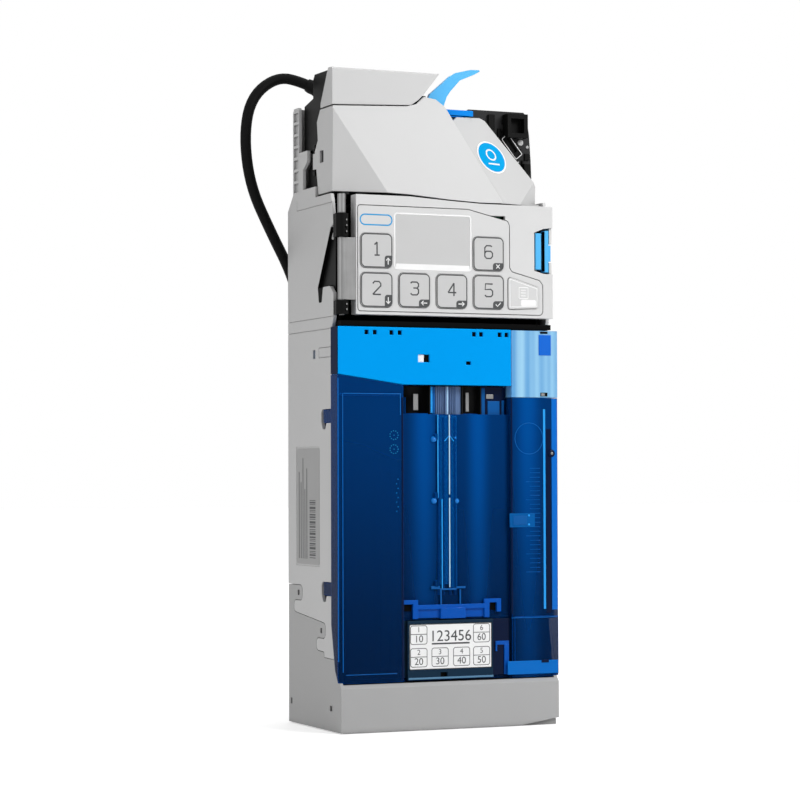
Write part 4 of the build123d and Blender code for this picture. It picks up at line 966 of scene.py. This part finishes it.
class CHANGER_OT_keypad(ChangerOperator):
    """Print the keys, the display's rim and the panel's lines"""

    bl_idname = "changer.keypad"
    bl_label = "Keypad"

    def make(self, sizes):
        for number in FIGURE_STROKES:
            self.key(sizes, number)
        self.menu_key(sizes)
        self.display(sizes)
        self.panel(sizes)

    def key(self, sizes, number):
        body = f"key_{number}"
        low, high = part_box(body)
        middle = (low + high) * 500
        plane = on_front(middle.x, low.y * 1000, middle.z)
        half = KEY_LINE_HALF
        line_art(f"key_{number}_outline", [(rounded(-half, half, -half, half, KEY_LINE_R), True)],
                 sizes.key_line, body, "legend", plane)
        figure = [([(px * FIGURE_SCALE - 2.44, py * FIGURE_SCALE - 2.6) for px, py in stroke], False)
                  for stroke in FIGURE_STROKES[number]]
        line_art(f"key_{number}_figure", figure, sizes.figure_line, body, "legend", plane)
        tall = number in (1, 2)
        width, height = (4.4, 6.6) if tall else (6.6, 4.2)
        corner = corner_tag(half - width, half, -half, height - half, 2.4)
        slabs(f"key_{number}_tag", [corner], 0.0, 0.07, body, "legend", plane)
        mark = plane @ Matrix.Translation(mm(TAG_INSET - width / 2, height / 2 - TAG_INSET, 0.09))
        line_art(f"key_{number}_mark", self.mark(number), 0.00055, body, "white", mark)

    def mark(self, number):
        """A small arrow, tick or cross, as strokes."""
        turn = {1: 90, 2: -90, 3: 180, 4: 0}.get(number)
        if turn is None:
            if number == 5:
                return [([(-1.5, 0.1), (-0.4, -1.0), (1.6, 1.1)], False)]
            return [([(-1.1, -1.1), (1.1, 1.1)], False), ([(-1.1, 1.1), (1.1, -1.1)], False)]
        a = math.radians(turn)
        arrow = [[(-1.9, 0), (1.7, 0)], [(0.4, 1.2), (1.8, 0), (0.4, -1.2)]]
        return [([(px * math.cos(a) - py * math.sin(a), px * math.sin(a) + py * math.cos(a))
                  for px, py in stroke], False) for stroke in arrow]

    def menu_key(self, sizes):
        plane = on_node("door_frame", 0, -KEY_RISE, 0)
        outline = [(95.9, 6.1), (95.9, 22.3), (113.2, 17.1), (113.2, 7.0)]
        line_art("menu_key_outline", [(outline, True)], 0.0007, "menu_key", "white", plane)
        frame_lines = [(rounded(101.6, 107.4, 11.2, 17.6, 0.5), True)]
        for k in range(3):
            frame_lines.append(([(102.9, 12.8 + 1.6 * k), (106.1, 12.8 + 1.6 * k)], False))
        line_art("menu_key_list", frame_lines, 0.0006, "menu_key", "white", plane)
        tag = rounded(102.8, 112.6, 6.8, 10.6, 1.0)
        slabs("menu_key_tag", [tag], 0.0, 0.06, "menu_key", "white", plane)

    def display(self, sizes):
        plane = on_node("door_frame", 0, 0, 0)
        rim = rounded(23.6, 71.2, 26.2, 57.6, 1.6)
        line_art("display_rim", [(rim, True)], sizes.display_rim, "keypad_door", "white", plane,
                 height=0.00012)
        foot = rounded(24.4, 70.4, 26.4, 29.2, 0.6)
        slabs("display_foot", [foot], 0.0, 0.12, "keypad_door", "white", plane)

    def panel(self, sizes):
        plane = on_node("door_frame", 0, 0, 0)
        capsule = rounded(2.6, 22.0, 50.6, 56.4, 2.8, 8)
        # Black sheets in the latch's gap and on its inner face, painted as shade.
        bars("latch_gap", "door_latch", [(3.7, 6.4, 2.0, 22.2)], 3.55, 0.04, "matt_black",
             body="door_latch")
        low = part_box("door_latch")[0]
        inner = facing(low + mm(6.58, 3.6, 0.4), (0, -1, 0), (0, 0, 1))
        slabs("latch_inner_face", [rounded(0.1, 3.4, 0.2, 23.2, 0.3)], 0.0, 0.05, "door_latch",
              "matt_black", inner)
        line_art("capsule_outline", [(capsule, True)], 0.0008, "keypad_door", "blue_line", plane)


class CHANGER_OT_card(ChangerOperator):
    """Print the card in the cassette with plain cells and figures"""

    bl_idname = "changer.card"
    bl_label = "Card"

    def make(self, sizes):
        low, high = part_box("label_card")
        x0, z0 = low.x * 1000, low.z * 1000
        width, height = (high.x - low.x) * 1000, (high.z - low.z) * 1000
        plane = on_front(x0, low.y * 1000, z0)
        cell_w, cell_h = 10.2, 10.4
        last, upper = width - cell_w - 1.3, height - cell_h
        cells = [
            (0.7, upper - 0.9, "1", "10"), (last, upper - 0.7, "6", "60"), (0.7, 1.6, "2", "20"),
            (13.9, 1.6, "3", "30"), (27.4, 1.6, "4", "40"), (last, 1.6, "5", "50"),
        ]
        lines = []
        for x, y, head, value in cells:
            lines.append((rounded(x, x + cell_w, y, y + cell_h, 1.3), True))
            lines.append(([(x, y + 5.6), (x + cell_w, y + 5.6)], False))
            figures(f"card_head_{head}", head, 4.2, (x + cell_w / 2, y + 8.1), "cassette", "legend", plane)
            figures(f"card_value_{head}", value, 5.6, (x + cell_w / 2, y + 2.85), "cassette", "legend",
                    plane)
        underline = rounded(13.8, width - 13.9, height - 11.7, height - 10.8, 0.3)
        slabs("card_underline", [underline], 0.0, 0.06, "cassette", "legend", plane)
        lines.append((rounded(0.2, width - 0.2, 0.2, height - 0.2, 0.6), True))
        line_art("card_lines", lines, sizes.print_line, "cassette", "legend", plane)
        figures("card_title", "123456", 8.8, (width / 2 - 0.1, height - 7.2), "cassette", "legend", plane)


class CHANGER_OT_badge(ChangerOperator):
    """Set the round badge on the acceptor's folded panel"""

    bl_idname = "changer.badge"
    bl_label = "Badge"

    def make(self, sizes):
        # three points of the folded panel's plane, and the badge's middle before it is set on it
        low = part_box("door_frame")[0] * 1000
        a, b, c = (low + Vector(p) for p in ((91.9, 0, 66.4), (107.4, 5, 66.4), (69.9, 18, 116.4)))
        normal = (b - a).cross(c - a).normalized()
        if normal.y > 0:
            normal.negate()
        target = low + Vector((91.3, 13.7, 94.1))
        centre = target - normal * (target - a).dot(normal)
        up = Vector((0, 0, 1)) - normal * normal.z
        across = up.cross(normal)
        plane = facing(centre / 1000, across, up)
        r = sizes.badge_r * 1000
        turned("badge_rim", [(0, 0.02), (r + 1.1, 0.02), (r + 1.1, 0.16), (r + 0.8, 0.22), (0, 0.22)], 64,
               "acceptor_cover", "white", plane)
        turned("badge_disc", [(0, 0.2), (r, 0.2), (r, 0.3), (r - 0.2, 0.34), (0, 0.34)], 64,
               "acceptor_cover", "badge", plane)
        raised = plane @ Matrix.Translation(mm(0, 0, 0.34))
        strokes = [(circle(0, 1.6, 3.4, 36), True), ([(-4.4, -4.6), (4.4, -4.6)], False)]
        line_art("badge_coin", strokes, 0.0011, "acceptor_cover", "white", raised, height=0.00008)


class CHANGER_OT_label(ChangerOperator):
    """Stick the side label in its bed"""

    bl_idname = "changer.side_label"
    bl_label = "Side label"

    def make(self, sizes):
        # local X runs to the front, local Y up
        low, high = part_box("chassis_shell")
        bed = Vector((low.x, high.y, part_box("cassette_body")[0].z)) + mm(0.3, -13.5, 65.0)
        plane = facing(bed, (0, -1, 0), (0, 0, 1))
        slabs("side_label", [rounded(0.4, 35.0, 0.4, 67.0, 1.2)], 0.0, 0.18, "chassis", "label_sheet",
              plane)
        raised = plane @ Matrix.Translation(mm(0, 0, 0.19))
        blocks = []
        y = 4.0
        widths = (1, 2, 1, 1, 3, 1, 2, 1, 1, 2, 3, 1, 1, 2, 1, 3, 1, 2, 2, 1, 1, 3, 1, 2, 1)
        for k, width in enumerate(widths):
            blocks.append([(20.0, y), (29.0, y), (29.0, y + width * 0.45), (20.0, y + width * 0.45)])
            y += width * 0.45 + (0.5 if k % 3 else 0.9)
        for k, run in enumerate((50, 44, 58, 40, 52)):
            x = 3.2 + 3.0 * k
            blocks.append([(x, 3.5), (x + 0.9, 3.5), (x + 0.9, 3.5 + run), (x, 3.5 + run)])
        slabs("side_label_bars", blocks, 0.0, 0.05, "chassis", "legend", raised)


class CHANGER_OT_cassette(ChangerOperator):
    """Fit the cassette's pillar, rails, lugs, sleeves and edges"""

    bl_idname = "changer.cassette"
    bl_label = "Cassette"

    def make(self, sizes):
        self.pillar()
        self.sleeves()
        self.rails()
        self.left_panel()
        self.right_column()
        self.label_side()
        self.lids()

    def pillar(self):
        """The ribbed pillar that stands between the two middle tubes, above the panel, with a painted
        highlight line.
        """
        low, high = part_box("middle_panel")
        left, top = low.x * 1000 + 22.1, high.z * 1000
        front, ridge = low.y * 1000 + 4.6, low.y * 1000 + 3.0
        plan = []
        for first, count in ((left, 5), (left + 8.7, 4)):
            for k in range(count):
                x = first + 1.15 * k
                plan += [(x, front), (x + 0.35, front), (x + 0.5, front - 0.7), (x + 1.0, front - 0.7)]
            if first == left:
                plan += [(left + 5.8, front), (left + 5.8, ridge)]
                plan += [(left + 8.3, ridge), (left + 8.3, front - 0.2)]
        plan += [(left + 16.2, front - 0.4), (left + 16.2, front + 1.0), (left, front + 1.0)]
        slabs("tube_pillar", [plan], top - 2.7, top + 16.0, "cassette", "pillar", Matrix.Identity(4),
              bevel=0.1)
        # A pale bar painted as a highlight along the pillar.
        bars("pillar_ridge", "middle_panel", [(28.8, 29.6, 114.2, 132.6)], 2.98, 0.25, "light", 0.08)
        bars("pillar_side", "middle_panel", [(18.8, 20.0, 117.4, 132.5)], 3.6, 0.6, "glow", 0.15)
        bars("pillar_web", "middle_panel", [(20.0, 22.1, 116.9, 132.5)], 4.6, 0.4, "faint", 0.1)

    def sleeves(self):
        """Black sleeves at the open tops of the middle tubes, each with a steel bar standing for a glint.
        """
        low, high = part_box("middle_panel")
        x_left, top, front = low.x * 1000, high.z * 1000, low.y * 1000 + 3.0
        sleeves = (("left", x_left + 0.5, x_left + 18.6), ("right", x_left + 38.5, x_left + 50.8))
        for name, x0, x1 in sleeves:
            middle, r, centre = (x0 + x1) / 2, (x1 - x0) / 2, front + 3.1
            turn = [math.radians(t) for t in range(0, 181, 12)]
            outer, inner = [[(middle + reach * math.cos(t), centre + reach * 0.9 * math.sin(t))
                             for t in turn] for reach in (r, r - 0.6)]
            plan = [(x1, front), *outer, (x0, front), (x0 + 0.6, front), *inner[::-1], (x1 - 0.6, front)]
            slabs(f"sleeve_{name}", [plan], top - 1.7, top + 16.3, "cassette", "sleeve", Matrix.Identity(4))
        # Steel bars placed to give the glints inside the sleeves.
        bars("sleeve_springs", "middle_panel", [(9.9, 13.1, 119.0, 128.5), (42.9, 45.1, 118.4, 129.5)], 8.0,
             0.5, "steel", 0.2)
        bars("sleeve_block", "middle_panel", [(51.1, 66.7, 115.5, 132.9)], 5.2, 0.5, "navy", 0.1)
        bars("block_faces", "middle_panel", [(51.5, 53.7, 116.6, 132.0), (55.5, 63.1, 116.4, 124.6),
             (64.5, 66.1, 116.4, 125.0)], 4.7, 0.4, "faint", 0.2)
        # A steel plate placed for the glint on the block.
        bars("block_plate", "middle_panel", [(54.5, 59.1, 125.9, 128.5)], 4.65, 0.4, "steel", 0.15)

    def rails(self):
        """Ribs with painted highlights, lugs and cross pieces on the middle panel."""
        # The ribs' edges and ridges are painted bright as highlights.
        bars("rail_edges", "middle_panel", [(21.7, 22.4, 69.0, 116.4), (24.2, 24.9, 17.6, 68.4)], 0.58, 0.3,
             "glow", 0.1)
        bars("rail_ridge", "middle_panel", [(28.9, 29.6, 71.0, 116.5), (28.9, 29.6, 18.2, 69.0)], 0.53,
             0.32, "light", 0.1)
        bars("rail_faces", "middle_panel", [(22.6, 28.8, 20.0, 116.0), (29.8, 34.1, 17.5, 116.0)], 1.1, 0.3,
             "rail", 0.15)
        bars("rail_foot", "middle_panel", [(17.6, 23.1, 17.2, 19.0), (33.5, 39.1, 17.4, 18.6),
             (23.1, 33.5, 16.6, 17.6), (23.3, 24.3, 7.4, 16.6), (35.4, 36.3, 7.6, 16.8)], 0.78, 0.35,
             "faint", 0.12)
        dome = [(0.0, 1.5), (0.5, 1.42), (1.0, 1.15), (1.35, 0.75), (1.5, 0.3), (1.55, 0.0)]
        lugs = ((19.8, 102.4, 1.15), (19.9, 67.4, 1.15), (34.1, 67.2, 1.0), (33.1, 103.4, 0.7))
        for number, (x, z, size) in enumerate(lugs, 1):
            profile = [(r * size, h * size) for r, h in reversed(dome)]
            turned(f"panel_lug_{number}", profile, 20, "cassette", "pane",
                   on_node("middle_panel", x, 1.5, z))
        arrow = [([(26.3, 101.4), (29.2, 104.6), (32.1, 101.4)], False)]
        line_art("panel_arrow", arrow, 0.0007, "cassette", "glow", on_node("middle_panel", 0, 0.5, 0))

    def left_panel(self):
        """Edge ribs, a painted highlight along the left edge, and the moulding marks of the left panel."""
        bars("left_ribs", "cassette_body", [(3.6, 38.8, 162.1, 162.6), (2.8, 3.3, 6.4, 162.2),
             (38.0, 38.6, 150.4, 162.0)], 0.03, 0.12, "trace", 0.04)
        bars("left_foot_rib", "cassette_body", [(5.0, 36.0, 4.6, 5.1)], 0.28, 0.12, "faint", 0.04)
        # A bright bar painted as the highlight along the left edge.
        bars("left_edge", "cassette_body", [(0.1, 0.7, 12.4, 170.9)], 0.28, 0.1, "trace", 0.03)
        bars("left_seam", "cassette_body", [(39.1, 40.2, 1.4, 160.4)], 0.28, 0.1, "navy", 0.03)
        dots = []
        ring_x, ring_r, per_ring = 34.5, 2.5, 11
        for cz in (139.0, 131.1):
            for k in range(per_ring):
                a = 2 * math.pi * k / per_ring
                dots.append(circle(ring_x + ring_r * math.cos(a), cz + ring_r * math.sin(a), 0.34, 8))
            dots.append(circle(ring_x, cz, 0.3, 8))
        for k in range(8):
            dots.append(circle(36.0 + 0.9 * (k % 2), 96.0 + 2.6 * k, 0.3, 8))
        slabs("moulding_marks", dots, 0.0, 0.1, "cassette", "mark", on_node("cassette_body", 0, 0.28, 0))

    def right_column(self):
        """Ribs, slot, pin, scale and small plate of the right-hand column."""
        bars("column_rib", "cassette_body", [(128.7, 130.1, 38.9, 154.4)], 0.28, 0.16, "glow", 0.05)
        bars("column_slot", "cassette_body", [(130.6, 133.6, 36.4, 142.9)], 0.28, 0.06, "navy", 0.0)
        bars("column_edge", "cassette_body", [(134.2, 137.7, 38.4, 160.4)], 0.28, 0.1, "column_edge", 0.03)
        bars("column_seam", "cassette_body", [(107.9, 108.9, 36.4, 160.6)], 0.28, 0.06, "navy", 0.0)
        turned("column_boss", [(2.2, 0.0), (2.2, 0.5), (1.6, 0.9), (0, 0.95)], 24, "cassette", "navy",
               on_node("cassette_body", 133.9, 0.28, 128.8))
        turned("column_pin", [(0.8, 0.0), (0.8, 0.2), (0.6, 0.3), (0, 0.32)], 16, "cassette", "steel",
               on_node("cassette_body", 133.9, -0.66, 128.8))
        line_art("column_ring", [(circle(119.6, 137.4, 9.0, 48), True)], 0.0004, "cassette", "trace",
                 on_node("cassette_body", 0, 0.28, 0), 0.00008)
        ticks = []
        for k in range(24):
            z = 60.4 + 2.6 * k
            ticks.append(([(120.0 if k % 4 else 117.6, z), (126.6, z)], False))
        line_art("column_scale", ticks, 0.00026, "cassette", "trace", on_node("cassette_body", 0, 0.28, 0),
                 0.00006)
        bars("column_plate", "cassette_body", [(106.9, 123.0, 86.2, 94.2)], 0.28, 0.35, "plate", 0.15)
        bars("column_plate_face", "cassette_body", [(109.2, 118.0, 87.6, 92.8)], -0.08, 0.1, "faint", 0.04)
        studs = [circle(119.2, z, 0.65, 14) for z in (93.0, 87.8)]
        slabs("column_studs", studs, 0.0, 0.2, "cassette", "glow", on_node("cassette_body", 0, -0.08, 0),
              0.08)
        bars("low_box_rib", "cassette_body", [(107.8, 137.6, 34.0, 34.4)], -0.02, 0.1, "trace", 0.03)
        bars("low_strip", "cassette_body", [(105.2, 137.6, 1.8, 9.4)], -0.02, 0.16, "strip", 0.06)
        bars("low_strip_slot", "cassette_body", [(126.8, 131.6, 8.0, 9.8)], -0.19, 0.08, "navy", 0.0)

    def label_side(self):
        """The dark bay and the small bracket right of the card."""
        bars("label_bay", "label_holder", [(56.3, 67.3, 1.2, 33.4)], 2.38, 0.1, "navy", 0.0)
        bars("small_bracket", "label_holder", [(57.9, 66.4, 18.4, 20.6), (63.5, 66.4, 1.4, 18.6),
             (57.9, 58.9, 14.8, 18.6)], 2.28, 0.9, "bracket", 0.15)
        bars("bay_backs", "label_holder", [(53.8, 58.7, 38.3, 43.0), (0.9, 6.0, 38.8, 43.0),
             (59.1, 63.5, 1.8, 18.4)], 2.9, 0.15, "matt_black", 0.0)
        bars("label_foot", "label_holder", [(2.6, 55.7, 0.3, 1.4)], -0.03, 0.12, "foot_line", 0.04)
        bars("label_notch", "label_holder", [(22.6, 26.8, 0.1, 3.9)], 1.9, 0.1, "matt_black", 0.0)

    def lids(self):
        """Painted light and shade in the lids' square holes, and the raised block, slots and a steel glint
        of the paler lid.
        """
        # A white patch painted as the light seen through the hole.
        bars("hole_block", "cassette_cover", [(49.5, 53.3, 12.8, 17.1)], 0.75, 0.1, "white", 0.0)
        # Dark sheets in the holes where only shade falls.
        bars("hole_darks", "cassette_cover", [(53.3, 56.6, 12.7, 17.3), (79.3, 82.8, 11.6, 13.9),
             (16.0, 25.0, 27.7, 30.9), (31.0, 40.2, 27.7, 30.9), (83.0, 91.0, 27.7, 30.9),
             (99.4, 107.0, 27.7, 30.9)], 1.55, 0.1, "matt_black", 0.0)
        bars("cap_block", "cassette_end_cap", [(17.6, 25.5, 24.5, 36.3)], -0.02, 0.2, "cap_mark", 0.08)
        bars("cap_slots", "cassette_end_cap", [(18.6, 23.4, 37.0, 38.3), (18.6, 23.2, 0.7, 2.9)], -0.02,
             0.08, "matt_black", 0.0)
        # A steel bar standing for a glint.
        bars("cap_pin", "cassette_end_cap", [(19.2, 21.4, 1.0, 2.5)], -0.1, 0.06, "steel", 0.0)


class CHANGER_OT_board(ChangerOperator):
    """Populate the bare corner of the acceptor's plate"""

    bl_idname = "changer.board"
    bl_label = "Board parts"

    def make(self, sizes):
        low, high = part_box("acceptor_plate")
        corner = Vector((low.x, high.y, low.z)) + mm(0, -2.4, 0)
        plane = facing(corner, (1, 0, 0), (0, 0, 1))
        chips = [(109.2, 110.8, 31.8, 34.8), (112.2, 114.8, 24.8, 28.2), (116.4, 119.2, 28.8, 32.4),
                 (103.8, 106.0, 38.8, 43.8), (117.6, 120.4, 14.3, 16.8), (119.6, 121.6, 8.3, 11.3),
                 (106.6, 108.0, 46.3, 49.3), (121.4, 124.4, 25.8, 29.8), (109.6, 111.6, 37.0, 39.2),
                 (112.4, 113.6, 39.2, 42.0), (106.4, 108.4, 41.4, 42.8), (119.4, 120.6, 23.4, 25.8),
                 (122.0, 124.6, 19.8, 22.2)]
        outlines = [[(x0, z0), (x1, z0), (x1, z1), (x0, z1)] for x0, x1, z0, z1 in chips]
        slabs("board_chips", outlines, 0.0, 1.1, "chassis", "black", plane, bevel=0.12)
        flecks = [(108.2, 43.4), (110.0, 41.0), (113.2, 37.2), (114.8, 35.4), (117.2, 24.4),
                  (118.8, 21.2), (120.2, 18.8), (122.6, 16.2)]
        labels = [[(x, z), (x + 0.9, z), (x + 0.9, z + 0.5), (x, z + 0.5)] for x, z in flecks]
        slabs("board_marks", labels, 0.0, 0.06, "chassis", "white", plane)
        pads = [circle(119.0, 36.3, 1.9, 24), circle(123.5, 33.8, 0.9, 16), circle(105.4, 35.3, 0.7, 16)]
        slabs("board_pads", pads, 0.0, 0.35, "chassis", "steel", plane, bevel=0.08)
        slant = math.radians(-51)
        across = Vector((math.cos(slant), 0, math.sin(slant)))
        tilted = facing(corner + mm(112.0, -3.05, 33.2), across, (0, 0, 1))
        lines = [(rounded(-7.4, 7.4, -2.6, 2.6, 0.8), True)]
        line_art("connector_outline", lines, 0.00045, "chassis", "white", tilted)
        self.slot_shades()

    def slot_shades(self):
        """Dark backs painted as shade behind the openings of the cover's and the housing's left side."""
        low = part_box("acceptor_cover")[0]
        side = facing((low.x + 0.00208, 0, low.z), (0, -1, 0), (0, 0, 1))
        plate = [(6.0, 21.6), (13.4, 21.6), (13.4, 30.2), (6.0, 30.2)]
        slabs("cover_slot_back", [plate], 0.0, 0.2, "acceptor_cover", "matt_black", side)
        self.lever_lining()
        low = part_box("hinge_knuckles")[0]
        marks = []
        for z in (2.2, 5.2, 46.0, 49.4, 52.6):
            marks.append([(4.9, z), (5.6, z), (5.6, z + 0.9), (4.9, z + 0.9)])
        slabs("hinge_marks", marks, 0.0, 0.1, "chassis", "steel", facing(low, (1, 0, 0), (0, 0, 1)))

    def lever_lining(self):
        """A black sheet painted as shade in the wall's opening for the lever, closed at its narrow foot."""
        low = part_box("release_lever")[0]
        side = facing((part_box("chassis_shell")[0].x + 0.002, low.y, low.z), (0, -1, 0), (0, 0, 1))
        rim = [(-2.4, 44.4), (-22.2, 11.4), (-20.6, 2.6), (-16.2, 2.6), (-14.2, 11.2), (-4.0, 11.2)]
        outlines = []
        for (x0, z0), (x1, z1) in zip(rim, rim[1:]):
            reach = 0.35 / math.hypot(x1 - x0, z1 - z0)
            nx, nz = -(z1 - z0) * reach, (x1 - x0) * reach
            outlines.append([(x0, z0), (x1, z1), (x1 + nx, z1 + nz), (x0 + nx, z0 + nz)])
        outlines.append([(-21.9, 11.0), (-20.4, 2.9), (-16.4, 2.9), (-14.5, 11.0)])
        slabs("lever_lining", outlines, 0.05, 1.9, "chassis", "matt_black", side)


def every_operator():
    """The operators, in the order they run."""
    return [CHANGER_OT_stage, CHANGER_OT_finishes, CHANGER_OT_cord, CHANGER_OT_keypad, CHANGER_OT_card,
            CHANGER_OT_badge, CHANGER_OT_label, CHANGER_OT_cassette, CHANGER_OT_board]


class CHANGER_PT_panel(bpy.types.Panel):
    """Lists the changer's operators and settings."""

    bl_idname = "CHANGER_PT_panel"
    bl_label = "Coin changer"
    bl_space_type = "VIEW_3D"
    bl_region_type = "UI"
    bl_category = "Changer"

    def draw(self, context):
        for operator in every_operator():
            self.layout.operator(operator.bl_idname)
        for group in (context.scene.changer_colours, context.scene.changer_sizes):
            for key in setting_names(group):
                self.layout.prop(group, key)


def register():
    """Registers the classes and hangs the settings on the scene."""
    for group in (ChangerColours, ChangerSizes):
        bpy.utils.register_class(group)
    bpy.types.Scene.changer_colours = PointerProperty(type=ChangerColours)
    bpy.types.Scene.changer_sizes = PointerProperty(type=ChangerSizes)
    for operator in every_operator():
        bpy.utils.register_class(operator)
    bpy.utils.register_class(CHANGER_PT_panel)


def unregister():
    """Takes all of it away again."""
    bpy.utils.unregister_class(CHANGER_PT_panel)
    for operator in reversed(every_operator()):
        bpy.utils.unregister_class(operator)
    del bpy.types.Scene.changer_sizes
    del bpy.types.Scene.changer_colours
    for group in (ChangerSizes, ChangerColours):
        bpy.utils.unregister_class(group)


def main():
    """Builds the scene."""
    register()
    for operator in every_operator():
        getattr(bpy.ops.changer, operator.bl_idname.split(".")[1])()
    bpy.context.view_layer.update()


if __name__ == "__main__":
    main()
